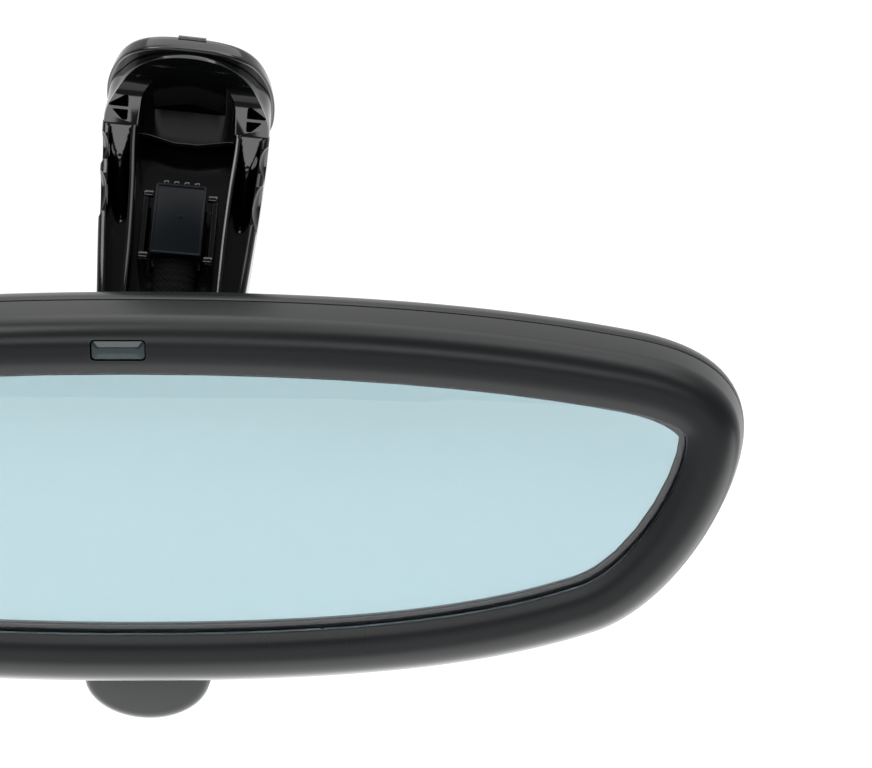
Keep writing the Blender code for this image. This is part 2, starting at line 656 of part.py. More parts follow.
def wiring(arm, head):
    """Connector on its bracket in the channel, its latch and cable, and the cable's way in."""
    low, high = CONNECTOR_Z
    front, back = CONNECTOR_Y
    width = CONNECTOR_HALF_WIDTH
    add_object("wiring_connector", box_mesh("connector", (-width, front, low), (width, back, high), 0.5),
               black_plastic(), arm, ARM_MATRIX)
    bracket = [(-8.8, CHANNEL_FLOOR - 0.3), (-8.8, -5.5), (-7.3, -5.5), (-7.3, 2.6), (7.3, 2.6),
               (7.3, -5.5), (8.8, -5.5), (8.8, CHANNEL_FLOOR - 0.3)]
    rows = [[(x, y, z) for x, y in bracket] for z in (low - 1.0, high - 1.5)]
    add_object("connector_bracket", loft_mesh("bracket", rows), black_plastic(), arm, ARM_MATRIX)
    latch = box_mesh("latch", (-2.6, front, high + 0.3), (2.6, -2.0, high + 2.0), 0.3)
    add_object("connector_latch", latch, black_plastic(), arm, ARM_MATRIX)
    sleeve = material("black_sleeve", (0.015, 0.015, 0.016), 0.6)
    path = [(46.0, -3.5, 2.6), (40.0, -3.2, 2.8), (32.0, -1.0, 2.8), (24.0, 3.6, 2.8), (19.0, 7.0, 2.7)]
    rings = []
    for level, y, radius in path:
        ring = []
        for k in range(16):
            angle = 2.0 * math.pi * k / 16
            ring.append((1.9 * radius * math.cos(angle), y + radius * math.sin(angle), level))
        rings.append(ring)
    rings.insert(0, [(x, y, low - 0.3) for x, y, _ in rings[0]])
    add_object("wiring_harness", loft_mesh("harness", rings), sleeve, arm, ARM_MATRIX)
    rubber = material("black_rubber", (0.02, 0.02, 0.02), 0.7)
    grommet = [(1.9, -4.2), (4.6, -4.2), (4.6, -2.7), (3.2, -2.7), (3.2, 0.7), (4.6, 0.7), (4.6, 1.5),
               (2.6, 2.8), (1.9, 2.8)]
    add_object("cable_grommet", turned_mesh("grommet", grommet, GROMMET_PLACE, (0, 1, 0), 20, True),
               rubber, head, HEAD_FRAME)
    cable = [(1.6, -6.0), (1.6, 6.0)]
    add_object("head_cable", turned_mesh("cable", cable, GROMMET_PLACE, (0, 1, 0), 12),
               sleeve, head, HEAD_FRAME)


def main():
    clear_scene()
    arm = empty("arm_frame", ARM_MATRIX)
    swing = empty("swing_axis", JOINT_FRAME)
    tilt = empty("tilt_axis", JOINT_FRAME, swing)
    head = empty("roll_axis", JOINT_FRAME, tilt)
    bezel(head)
    rear_housing(head)
    glass_stack(head)
    bus_clips(head)
    carrier_and_board(head)
    board_screws(head)
    sensors(head)
    ball_joint(head, tilt, swing, arm)
    mirror_arm(arm)
    windscreen_foot(arm)
    foot_hardware(arm)
    wiring(arm, head)


main()
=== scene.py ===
"""Looks of the interior rearview mirror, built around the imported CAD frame.

Helpers draw in millimetres in one of two frames. The head's frame is parallel to the model's, with
its origin at the head's centre in the plane of the bezel's front crest. The arm's frame has its
origin at the ball centre and its +Z axis square to the windscreen seat.
"""
import json
import math

import bmesh
import bpy
from mathutils import Matrix, Vector


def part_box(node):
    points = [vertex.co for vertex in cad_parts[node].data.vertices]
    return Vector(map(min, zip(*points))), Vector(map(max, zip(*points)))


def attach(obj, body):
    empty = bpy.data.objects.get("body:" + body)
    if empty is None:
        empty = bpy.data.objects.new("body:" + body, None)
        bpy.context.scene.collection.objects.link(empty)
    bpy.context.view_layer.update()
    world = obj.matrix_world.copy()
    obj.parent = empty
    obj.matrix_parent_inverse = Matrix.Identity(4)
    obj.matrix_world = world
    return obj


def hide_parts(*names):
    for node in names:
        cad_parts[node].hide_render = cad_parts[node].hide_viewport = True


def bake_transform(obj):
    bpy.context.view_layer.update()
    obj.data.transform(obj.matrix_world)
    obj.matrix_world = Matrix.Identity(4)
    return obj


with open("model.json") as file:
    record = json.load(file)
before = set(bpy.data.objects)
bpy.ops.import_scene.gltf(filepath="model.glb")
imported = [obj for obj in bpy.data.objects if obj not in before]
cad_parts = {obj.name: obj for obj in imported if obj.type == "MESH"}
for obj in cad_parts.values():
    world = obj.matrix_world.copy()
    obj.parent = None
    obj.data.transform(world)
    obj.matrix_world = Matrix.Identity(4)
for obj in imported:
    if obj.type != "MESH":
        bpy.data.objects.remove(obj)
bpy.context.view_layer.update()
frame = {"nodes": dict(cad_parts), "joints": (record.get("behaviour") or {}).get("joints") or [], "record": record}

MM = 0.001
BALL = Vector((0.0, 34.0, 0.0))
JOINT = Vector(frame["joints"][0]["pos_m"])
HEAD = Matrix.Translation(JOINT - BALL * MM)


def mm_box(node):
    """Lowest and highest corner of a CAD node in the head's frame, in millimetres."""
    low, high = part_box(node)
    origin = HEAD.translation
    return (low - origin) / MM, (high - origin) / MM


def arm_frame():
    """The arm's frame, from the ball joint's centre and the axes of the record's two mounts."""
    mounts = {mount["name"]: mount for mount in frame["record"]["mounts"]}
    up = Vector(mounts["windscreen_seat"]["axis"]).normalized()
    back = -Vector(mounts["harness_plug"]["axis"]).normalized()
    side = back.cross(up).normalized()
    turn = Matrix((side, back, up)).transposed().to_4x4()
    return Matrix.Translation(JOINT) @ turn


ARM = arm_frame()


def mm_box_in_arm(node):
    """Lowest and highest corner of a CAD node in the arm's frame, in millimetres."""
    obj = frame["nodes"][node]
    to_arm = ARM.inverted() @ obj.matrix_world
    corners = [to_arm @ vert.co / MM for vert in obj.data.vertices]
    low = Vector([min(corner[axis] for corner in corners) for axis in range(3)])
    high = Vector([max(corner[axis] for corner in corners) for axis in range(3)])
    return low, high


# Head outline at the seam, drawn for this half width and scaled to the CAD's: x, z, heading in
# degrees, handle in, handle out
DRAWN_HALF_WIDTH = 127.2
SEAM_NODES = (
    (0.0, 41.0, 0.0, 0.0, 49.4),
    (104.0, 32.9, -10.9, 21.6, 12.2),
    (DRAWN_HALF_WIDTH, 12.9, -90.0, 12.8, 13.4),
    (96.6, -30.1, -161.3, 18.2, 21.8),
    (0.0, -41.0, -180.0, 48.8, 0.0),
)
HALF_WIDTH = mm_box("bezel")[1].x
HALF_HEIGHT = SEAM_NODES[0][1]
UNIT = HALF_WIDTH / DRAWN_HALF_WIDTH
# Insets are measured inwards from the seam outline, depths backwards from the crest plane
LIP_INSET = 13.5
LIP_FRONT = 0.98
LIP_BACK = 2.25
CHAMFER_INSET = 10.8
SHOULDER_INSET = 8.2
SHOULDER_RADIUS = 6.5
FLANK_TAPER = math.radians(16.0)
GLASS_INSET = 11.4
SEAM_DEPTH = mm_box("bezel")[1].y
HOUSING_START = mm_box("rear_housing")[0].y
# Extra gap at the seam in front of the CAD one
SEAM_SET_BACK = 0.42
WALL = 2.2
# How far the housing swells past the seam outline, on top of its rounded rim
BULGE = 0.5

# Levels of the foot's lower and upper face in the arm's frame, and its two screws
FOOT_BASE = 93.4
FOOT_TOP = 97.8
SCREW_X = 15.5
SCREW_Y = 2.0
SCREW_HOLE = 1.8


# ---------------------------------------------------------------- materials


class Finish:
    """A Principled material with a few procedural layers."""

    def __init__(self, name):
        self.material = bpy.data.materials.new(name)
        self.material.use_nodes = True
        self.tree = self.material.node_tree
        self.shader = self.tree.nodes["Principled BSDF"]
        self.coordinates = self.tree.nodes.new("ShaderNodeTexCoord").outputs["Object"]

    def node(self, kind, **values):
        made = self.tree.nodes.new(kind)
        for key, value in values.items():
            setattr(made, key, value)
        return made

    def link(self, source, target):
        self.tree.links.new(source, target)

    def feed(self, source, name):
        """Link a value to one of the shader's inputs."""
        self.link(source, self.shader.inputs[name])

    def set(self, **values):
        """Fix some of the shader's inputs."""
        for key, value in values.items():
            self.shader.inputs[key.replace("_", " ")].default_value = value

    def noise(self, scale, detail=2.0, stretch=(1.0, 1.0, 1.0)):
        """Noise value of the given frequency, in cycles per metre."""
        mapping = self.node("ShaderNodeMapping")
        mapping.inputs["Scale"].default_value = stretch
        self.link(self.coordinates, mapping.inputs["Vector"])
        noise = self.node("ShaderNodeTexNoise")
        noise.inputs["Scale"].default_value = scale
        noise.inputs["Detail"].default_value = detail
        self.link(mapping.outputs["Vector"], noise.inputs["Vector"])
        return noise.outputs["Fac"]

    def spread(self, value, low, high, start=0.3, end=0.7):
        """Map a value that runs from start to end on to a range of numbers."""
        ranged = self.node("ShaderNodeMapRange")
        ranged.inputs["From Min"].default_value = start
        ranged.inputs["From Max"].default_value = end
        ranged.inputs["To Min"].default_value = low
        ranged.inputs["To Max"].default_value = high
        self.link(value, ranged.inputs["Value"])
        return ranged.outputs["Result"]

    def mix_color(self, factor, first, second):
        mix = self.node("ShaderNodeMix", data_type="RGBA")
        mix.inputs["A"].default_value = (*first, 1.0)
        mix.inputs["B"].default_value = (*second, 1.0)
        self.link(factor, mix.inputs["Factor"])
        return mix.outputs["Result"]

    def bump(self, height, distance, strength):
        """Raise the surface by a height of 0 to 1 times a distance in millimetres."""
        layer = self.node("ShaderNodeBump")
        layer.inputs["Distance"].default_value = distance * MM
        layer.inputs["Strength"].default_value = strength
        self.link(height, layer.inputs["Height"])
        self.feed(layer.outputs["Normal"], "Normal")

    def edge_wear(self, radius=0.35):
        """A 0 to 1 mask that is high along convex edges."""
        bevel = self.node("ShaderNodeBevel", samples=4)
        bevel.inputs["Radius"].default_value = radius * MM
        geometry = self.node("ShaderNodeNewGeometry")
        dot = self.node("ShaderNodeVectorMath", operation="DOT_PRODUCT")
        self.link(bevel.outputs["Normal"], dot.inputs[0])
        self.link(geometry.outputs["Normal"], dot.inputs[1])
        return self.spread(dot.outputs["Value"], 1.0, 0.0, 0.86, 0.995)


def moulded_plastic(name, color, roughness, grain, specular=0.5):
    """Moulded plastic: fine grain, slow changes of colour and gloss, and paler rubbed edges."""
    speckle = 0.12
    finish = Finish(name)
    finish.set(IOR=1.46, Specular_IOR_Level=specular)
    slow = finish.noise(22.0, 3.0)
    fine = finish.noise(2600.0, 2.0)
    darker = tuple(channel * (1.0 - speckle) for channel in color)
    paler = tuple(channel * (1.0 + speckle) for channel in color)
    body = finish.mix_color(slow, darker, paler)
    worn = tuple(min(1.0, channel * 1.7 + 0.006) for channel in color)
    mix = finish.node("ShaderNodeMix", data_type="RGBA")
    mix.inputs["B"].default_value = (*worn, 1.0)
    finish.link(body, mix.inputs["A"])
    finish.link(finish.edge_wear(), mix.inputs["Factor"])
    finish.feed(mix.outputs["Result"], "Base Color")
    gloss = finish.spread(slow, roughness * 0.9, roughness * 1.12)
    finish.feed(gloss, "Roughness")
    finish.bump(fine, grain, 0.5)
    return finish.material


def brushed_metal(name, color, roughness):
    """Plated metal with fine brushing, mottled colour and uneven gloss."""
    finish = Finish(name)
    finish.set(Metallic=1.0)
    grain = finish.noise(900.0, 3.0, (1.0, 1.0, 12.0))
    slow = finish.noise(90.0, 3.0)
    dull = tuple(channel * 0.72 for channel in color)
    finish.feed(finish.mix_color(slow, dull, color), "Base Color")
    gloss = finish.spread(grain, roughness * 0.8, roughness * 1.4)
    finish.feed(gloss, "Roughness")
    finish.bump(grain, 0.01, 0.6)
    return finish.material


def mirror_coating(name):
    """Reflective layer with a faint blue-green tint that drifts across the glass."""
    finish = Finish(name)
    finish.set(Metallic=1.0, Roughness=0.012)
    drift = finish.noise(6.0, 1.0)
    tint = finish.mix_color(drift, (0.413, 0.552, 0.595), (0.433, 0.573, 0.615))
    finish.feed(tint, "Base Color")
    return finish.material


def clear_glass(name):
    """Clear float glass, green-grey in its thickness, with a trace of dust in its gloss."""
    finish = Finish(name)
    finish.set(Transmission_Weight=1.0, IOR=1.5)
    dust = finish.noise(260.0, 4.0)
    tint = finish.mix_color(dust, (0.955, 0.985, 0.985), (0.975, 0.995, 0.995))
    finish.feed(tint, "Base Color")
    finish.feed(finish.spread(dust, 0.0, 0.012, 0.55, 0.8), "Roughness")
    return finish.material


def smoked_window(name, color):
    """Darkly tinted plastic over the sensors, with faint flow marks."""
    finish = Finish(name)
    finish.set(IOR=1.49, Roughness=0.08, Transmission_Weight=0.3, Specular_IOR_Level=0.3)
    depth = finish.noise(180.0, 2.0)
    dark = tuple(channel * 0.85 for channel in color)
    finish.feed(finish.mix_color(depth, dark, color), "Base Color")
    finish.bump(depth, 0.01, 0.3)
    return finish.material


def woven_sleeve(name):
    """Braided black sleeving: two crossed waves raise the strands."""
    finish = Finish(name)
    finish.set(Roughness=0.7, Specular_IOR_Level=0.07)
    heights = []
    for turn in (0.7, -0.7):
        mapping = finish.node("ShaderNodeMapping")
        mapping.inputs["Rotation"].default_value = (turn, turn, turn)
        finish.link(finish.coordinates, mapping.inputs["Vector"])
        wave = finish.node("ShaderNodeTexWave")
        wave.inputs["Scale"].default_value = 420.0
        finish.link(mapping.outputs["Vector"], wave.inputs["Vector"])
        heights.append(wave.outputs["Fac"])
    weave = finish.node("ShaderNodeMath", operation="MAXIMUM")
    finish.link(heights[0], weave.inputs[0])
    finish.link(heights[1], weave.inputs[1])
    # Painted shade: the hollows between the strands are coloured darker than the strands
    hollow_painted_shade = (0.0006, 0.0007, 0.0008)
    strand = (0.002, 0.0022, 0.0023)
    finish.feed(finish.mix_color(weave.outputs["Value"], hollow_painted_shade, strand), "Base Color")
    finish.bump(weave.outputs["Value"], 0.12, 0.9)
    return finish.material


def porous(name, color, pore, depth, roughness=0.9):
    """Foam, rubber, resin or laminate: a cellular surface of one colour family."""
    finish = Finish(name)
    cells = finish.node("ShaderNodeTexVoronoi")
    cells.inputs["Scale"].default_value = pore
    finish.link(finish.coordinates, cells.inputs["Vector"])
    slow = finish.noise(60.0, 3.0)
    pale = tuple(min(1.0, channel * 1.5) for channel in color)
    finish.feed(finish.mix_color(slow, color, pale), "Base Color")
    finish.set(Roughness=roughness)
    finish.bump(cells.outputs["Distance"], depth, 0.8)
    return finish.material


# Maker and settings of each finish, under the name of the record's slot or of a shade of it
FINISH_TABLE = {
    "satin_charcoal": (moulded_plastic, (0.0065, 0.0072, 0.0078), 0.3, 0.012, 0.24),
    "gloss_black": (moulded_plastic, (0.0018, 0.002, 0.0022), 0.12, 0.004, 0.5),
    "clear_glass": (clear_glass,),
    "mirror_silver": (mirror_coating,),
    "seal_epoxy": (porous, (0.007, 0.006, 0.012), 900.0, 0.02, 0.45),
    "tinned_copper": (brushed_metal, (0.72, 0.55, 0.42), 0.3),
    "black_foam": (porous, (0.012, 0.012, 0.012), 1500.0, 0.25),
    "green_laminate": (porous, (0.01, 0.09, 0.035), 500.0, 0.02, 0.35),
    "black_resin": (porous, (0.01, 0.01, 0.011), 1800.0, 0.02, 0.45),
    "natural_nylon": (moulded_plastic, (0.62, 0.6, 0.54), 0.45, 0.01),
    "smoked_clear": (smoked_window, (0.02, 0.034, 0.037)),
    "sensor_face": (moulded_plastic, (0.004, 0.011, 0.012), 0.35, 0.004, 0.3),
    "spring_steel": (brushed_metal, (0.1, 0.1, 0.105), 0.32),
    # Painted shade: the connector's finish is a duller, less reflective copy of gloss black that keeps it dark
    "connector_painted_shade": (moulded_plastic, (0.003, 0.0045, 0.0065), 0.3, 0.006, 0.12),
    "steel": (brushed_metal, (0.66, 0.66, 0.67), 0.28),
    "black_sleeve": (woven_sleeve,),
    "black_rubber": (porous, (0.014, 0.014, 0.014), 1400.0, 0.03, 0.7),
}
FINISHES = {}


def finish_for(slot):
    """The material of one row of the table, made when first asked for."""
    if slot not in FINISHES:
        maker, *settings = FINISH_TABLE[slot]
        FINISHES[slot] = maker(slot, *settings)
    return FINISHES[slot]


# ---------------------------------------------------------------- drawing helpers


def bezier(start, end, samples):
    """Points and headings along one cubic between two outline nodes, without its end point."""
    x0, z0, heading0, _, out = start
    x1, z1, heading1, back, _ = end
    p0 = Vector((x0, z0))
    p3 = Vector((x1, z1))
    p1 = p0 + out * Vector((math.cos(math.radians(heading0)), math.sin(math.radians(heading0))))
    p2 = p3 - back * Vector((math.cos(math.radians(heading1)), math.sin(math.radians(heading1))))
    rows = []
    for k in range(samples):
        t = k / samples
        s = 1.0 - t
        rows.append(s ** 3 * p0 + 3 * s * s * t * p1 + 3 * s * t * t * p2 + t ** 3 * p3)
    return rows


def mirrored(nodes, samples):
    """A closed outline from nodes of its right half, which start and end on the centre line."""
    half = []
    for start, end in zip(nodes, nodes[1:]):
        half += bezier(start, end, samples)
    last = Vector((nodes[-1][0], nodes[-1][1]))
    return half + [last] + [Vector((-point.x, point.y)) for point in half[:0:-1]]


def resample(points, count):
    """The same open line with evenly spaced points."""
    lengths = [0.0]
    for before, after in zip(points, points[1:]):
        lengths.append(lengths[-1] + (after - before).length)
    rows = []
    k = 0
    for step in range(count):
        goal = lengths[-1] * step / (count - 1)
        while k < len(lengths) - 2 and lengths[k + 1] < goal:
            k += 1
        span = max(lengths[k + 1] - lengths[k], 1e-9)
        share = min(max((goal - lengths[k]) / span, 0.0), 1.0)
        rows.append(points[k].lerp(points[k + 1], share))
    return rows


def normals_of(points):
    """Outward normals of a closed clockwise outline."""
    count = len(points)
    rows = []
    for k in range(count):
        along = (points[(k + 1) % count] - points[k - 1]).normalized()
        rows.append(Vector((-along.y, along.x)))
    return rows


def filleted(corners, steps=6, closed=True):
    """Round each corner (u, v, radius) of a line with a parabola that starts where an arc would."""
    count = len(corners)
    rows = []
    for k, (u, v, radius) in enumerate(corners):
        here = Vector((u, v))
        ends = not closed and k in (0, count - 1)
        if radius <= 0.0 or ends:
            rows.append(here)
            continue
        before = Vector(corners[k - 1][:2]) - here
        after = Vector(corners[(k + 1) % count][:2]) - here
        angle = before.angle(after)
        reach = min(radius / math.tan(angle / 2), before.length * 0.49, after.length * 0.49)
        start = here + before.normalized() * reach
        end = here + after.normalized() * reach
        for step in range(steps + 1):
            t = step / steps
            rows.append(start * (1 - t) ** 2 + here * 2 * t * (1 - t) + end * t * t)
    return rows


def smooth_step(low, high, value):
    t = min(max((value - low) / (high - low), 0.0), 1.0)
    return t * t * (3.0 - 2.0 * t)


def mesh_of(bm):
    bmesh.ops.recalc_face_normals(bm, faces=bm.faces)
    data = bpy.data.meshes.new("mesh")
    bm.to_mesh(data)
    bm.free()
    return data


def lofted(rings, wrap=False):
    """Quads between rings of equal length. Wrap joins the last ring to the first, without caps."""
    bm = bmesh.new()
    rows = [[bm.verts.new(point) for point in ring] for ring in rings]
    count = len(rows[0])
    pairs = list(zip(rows, rows[1:]))
    if wrap:
        pairs.append((rows[-1], rows[0]))
    for low, high in pairs:
        for k in range(count):
            after = (k + 1) % count
            bm.faces.new((low[k], low[after], high[after], high[k]))
    if not wrap:
        bm.faces.new(rows[0][::-1])
        bm.faces.new(rows[-1])
    return mesh_of(bm)


def add_object(name, data):
    obj = bpy.data.objects.new(name, data)
    bpy.context.scene.collection.objects.link(obj)
    return obj


def dressed(name, data, place, slot, shade=None):
    """Object of a mesh drawn in millimetres in a frame, with its slot's finish or a shade of it."""
    data.transform(place @ Matrix.Scale(MM, 4))
    data.name = name
    obj = add_object(name, data)
    data.materials.clear()
    data.materials.append(finish_for(shade or slot))
    data.shade_smooth()
    return obj


def piece(name, data, place, body, slot, nodes=(), sharp=40.0, shade=None):
    """Add a rigid piece that rides on a body and may stand for CAD nodes."""
    obj = dressed(name, data, place, slot, shade)
    data.set_sharp_from_angle(angle=math.radians(sharp))
    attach(obj, body)
    if nodes:
        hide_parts(*nodes)
    return obj


def joined(parts):
    """One mesh of several closed shells."""
    bm = bmesh.new()
    for part in parts:
        bm.from_mesh(part)
    data = bpy.data.meshes.new("joined")
    bm.to_mesh(data)
    bm.free()
    return data


def boolean(data, tools, operation="DIFFERENCE"):
    """Cut or join a mesh with others, all in the same millimetre frame."""
    obj = add_object("work", data)
    helpers = []
    for tool_data in tools:
        tool = add_object("tool", tool_data)
        helpers.append(tool)
        modifier = obj.modifiers.new("cut", "BOOLEAN")
        modifier.operation = operation
        modifier.solver = "EXACT"
        modifier.object = tool
    bpy.context.view_layer.update()
    graph = bpy.context.evaluated_depsgraph_get()
    result = bpy.data.meshes.new_from_object(obj.evaluated_get(graph))
    for helper in helpers + [obj]:
        bpy.data.objects.remove(helper, do_unlink=True)
    return result


def bevel(obj, width, segments, angle):
    """A live bevel on edges sharper than an angle."""
    modifier = obj.modifiers.new("bevel", "BEVEL")
    modifier.width = width * MM
    modifier.segments = segments
    modifier.limit_method = "ANGLE"
    modifier.angle_limit = math.radians(angle)
    modifier.harden_normals = True
    modifier.miter_outer = "MITER_ARC"
    return obj


def block(low, high, radius, steps=3):
    """A box between two corners with rounded edges."""
    bm = bmesh.new()
    bmesh.ops.create_cube(bm, size=1.0)
    for vert in bm.verts:
        for axis in range(3):
            vert.co[axis] = low[axis] if vert.co[axis] < 0.0 else high[axis]
    if radius:
        edges = list(bm.edges)
        bmesh.ops.bevel(bm, geom=edges, offset=radius, segments=steps, affect="EDGES", profile=0.5)
    return mesh_of(bm)


def turned(profile, centre, direction, segments=64):
    """Turn a profile of (radius, distance) about an axis through a centre."""
    axis = Vector(direction).normalized()
    side = axis.orthogonal().normalized()
    other = axis.cross(side)
    origin = Vector(centre)
    rings = []
    for radius, distance in profile:
        ring = []
        for k in range(segments):
            angle = 2.0 * math.pi * k / segments
            arm = side * math.cos(angle) + other * math.sin(angle)
            ring.append(origin + axis * distance + arm * radius)
        rings.append(ring)
    return lofted(rings)


def prism(outline, start, end, axis="y"):
    """Extrude a closed outline of pairs along one axis."""
    rings = []
    for level in (start, end):
        if axis == "y":
            rings.append([(u, level, v) for u, v in outline])
        elif axis == "x":
            rings.append([(level, u, v) for u, v in outline])
        else:
            rings.append([(u, v, level) for u, v in outline])
    return lofted(rings)


def tube(path, radii, sides, flatten=1.0):
    """A round or oval tube along a path of points."""
    points = [Vector(p) for p in path]
    rings = []
    side = Vector((1.0, 0.0, 0.0))
    for k, point in enumerate(points):
        before = points[max(k - 1, 0)]
        after = points[min(k + 1, len(points) - 1)]
        along = (after - before).normalized()
        side = (side - along * side.dot(along)).normalized()
        up = along.cross(side)
        ring = []
        for j in range(sides):
            angle = 2.0 * math.pi * j / sides
            radius = radii[k]
            across = side * (radius * flatten * math.cos(angle))
            ring.append(point + across + up * (radius * math.sin(angle)))
        rings.append(ring)
    return lofted(rings)


def curve_through(points, samples):
    """Catmull-Rom line through points."""
    rows = [Vector(p) for p in points]
    rows = [rows[0] * 2 - rows[1]] + rows + [rows[-1] * 2 - rows[-2]]
    line = []
    for k in range(1, len(rows) - 2):
        a, b, c, d = rows[k - 1], rows[k], rows[k + 1], rows[k + 2]
        for step in range(samples):
            t = step / samples
            line.append(0.5 * ((2 * b) + (c - a) * t + (2 * a - 5 * b + 4 * c - d) * t * t
                               + (3 * b - a - 3 * c + d) * t ** 3))
    line.append(rows[-2])
    return line


# ---------------------------------------------------------------- head

# Half width of the pod at its root and lower down, the level where its oval bottom starts, the
# depth of its back, and the outline's points round its root and round the rest of the head
POD_BASE = 14.6
POD_HALF_WIDTH = 13.6
POD_SHOULDER = -42.7
POD_BACK = 26.0
POD_SAMPLES = 84
RIM_SAMPLES = 300


def head_outline():
    """Seam outline: round the head from one side of the pod to the other, then the pod's root."""
    fine = [point * UNIT for point in mirrored(SEAM_NODES, 160)]
    lowest = min(range(len(fine)), key=lambda k: fine[k].y + abs(fine[k].x) * 1e-6)
    loop = fine[lowest:] + fine[:lowest]
    left = next(k for k in range(len(loop)) if loop[k].x < -POD_BASE)
    right = max(k for k in range(len(loop)) if loop[k].x > POD_BASE)
    rim = resample(loop[left:right + 1], RIM_SAMPLES)
    base = resample(loop[right + 1:] + loop[:left], POD_SAMPLES)
    return rim + base


OUTLINE = head_outline()
NORMALS = normals_of(OUTLINE)


def head_ring(offset, depth):
    """The seam outline moved outwards by an offset, at a depth behind the crest plane."""
    rows = []
    for point, normal in zip(OUTLINE, NORMALS):
        moved = point + normal * offset
        rows.append((moved.x, depth, moved.y))
    return rows


WINDOW_GAP = 0.22


def window_outline(inset, radius, steps):
    """Rounded rectangle inside the CAD sensor window's front by an inset."""
    low, high = mm_box("glare_sensor_lens")
    return filleted([
        (low.x + inset, low.z + inset, radius),
        (low.x + inset, high.z - inset, radius),
        (high.x - inset, high.z - inset, radius),
        (high.x - inset, low.z + inset, radius),
    ], steps)


def bezel():
    """Front frame: lip, chamfer, crest, rounded shoulder and flank, swept round the head."""
    shelf = -GLASS_INSET + 0.3
    shoulder = []
    steps = 24
    for k in range(steps + 1):
        angle = math.pi / 2 + (FLANK_TAPER - math.pi / 2) * k / steps
        offset = -SHOULDER_INSET + SHOULDER_RADIUS * math.cos(angle)
        shoulder.append((offset, SHOULDER_RADIUS * (1.0 - math.sin(angle)), 0.0))
    profile = filleted([
        (-LIP_INSET, LIP_BACK, 0.12),
        (-LIP_INSET, LIP_FRONT, 0.35),
        (-CHAMFER_INSET, 0.0, 10.0),
        *shoulder,
        (0.0, SEAM_DEPTH - SEAM_SET_BACK, 0.15),
        (-WALL, SEAM_DEPTH - SEAM_SET_BACK, 0.2),
        (-2.0 * WALL, 7.0, 0.6),
        (shelf + WALL, 5.2, 0.3),
        (shelf + WALL, 8.0, 0.2),
        (shelf, 8.0, 0.2),
        (shelf, LIP_BACK, 0.1),
    ], steps=8)
    data = lofted([head_ring(u, v) for u, v in profile], wrap=True)
    data = boolean(data, [prism(window_outline(-WINDOW_GAP, 1.0, 5), -2.0, 9.5)])
    return piece("bezel_frame", data, HEAD, "head", "satin_charcoal", ["bezel"], sharp=32.0)


# The housing's back runs from its rim (share 0) to the round opening for the ball (share 1). It is
# rounded over the first BACK_ROUND of the way, and the pod takes up the first POD_SHARE.
WALL_DEPTH = 17.5
BACK_RISE = 10.5
BACK_ROUND = 0.4
POD_SHARE = 0.135
OPENING_RADIUS = 12.5
# Half sizes of the hump round the opening, and the share of them that is flat
HUMP_REACH = (34.0, 27.0)
HUMP_PLATEAU = 0.42
# The opening's edge ends where the CAD housing ends
HUMP_RISE = mm_box("rear_housing")[1].y - WALL_DEPTH - BACK_RISE
POD_BOTTOM = mm_box("rear_housing")[0].z - 1.3
HOUSING_RIM = 0.3 + BULGE


def back_ring(blend, wall):
    """One ring of the housing's back, between its rim and the round opening."""
    turn = min(blend / BACK_ROUND, 1.0) * math.pi / 2
    rows = []
    for point, normal in zip(OUTLINE, NORMALS):
        rim = point + normal * (HOUSING_RIM - wall)
        angle = math.atan2(point.y / HALF_HEIGHT, point.x / HALF_WIDTH)
        hole = OPENING_RADIUS * Vector((math.cos(angle), math.sin(angle)))
        place = rim.lerp(hole, blend)
        reach = math.hypot(place.x / HUMP_REACH[0], place.y / HUMP_REACH[1])
        slope = min(max((reach - HUMP_PLATEAU) / (1.0 - HUMP_PLATEAU), 0.0), 1.0)
        hump = HUMP_RISE * math.cos(slope * math.pi / 2) ** 2
        depth = WALL_DEPTH - wall + BACK_RISE * math.sin(turn) + hump
        rows.append((place.x, depth, place.y))
    return rows


def pod_path(inset):
    """Edge of the pod, from its right root round its oval bottom to its left root."""
    root = OUTLINE[RIM_SAMPLES]
    width = POD_HALF_WIDTH - inset
    drop = POD_SHOULDER - POD_BOTTOM - inset
    half = filleted([
        (POD_BASE + 0.4, root.y + 0.05, 0.0),
        (width + 0.35, root.y - 0.35, 1.2),
        (width, POD_SHOULDER, 0.0),
    ], steps=6, closed=False)
    steps = 24
    for k in range(1, steps + 1):
        turn = math.pi / 2 * k / steps
        half.append(Vector((width * math.cos(turn), POD_SHOULDER - drop * math.sin(turn))))
    full = half + [Vector((-point.x, point.y)) for point in half[-2::-1]]
    return resample(full, POD_SAMPLES)


def pod_ring(offset, depth, inset, lean):
    """A housing ring that bulges out to the pod's edge, leaning back towards its bottom."""
    rows = head_ring(offset, depth)
    path = pod_path(inset)
    root = path[0].y
    for k in range(POD_SAMPLES):
        drop = (root - path[k].y) / (root - POD_BOTTOM)
        rows[RIM_SAMPLES + k] = (path[k].x, depth + lean * drop, path[k].y)
    return rows


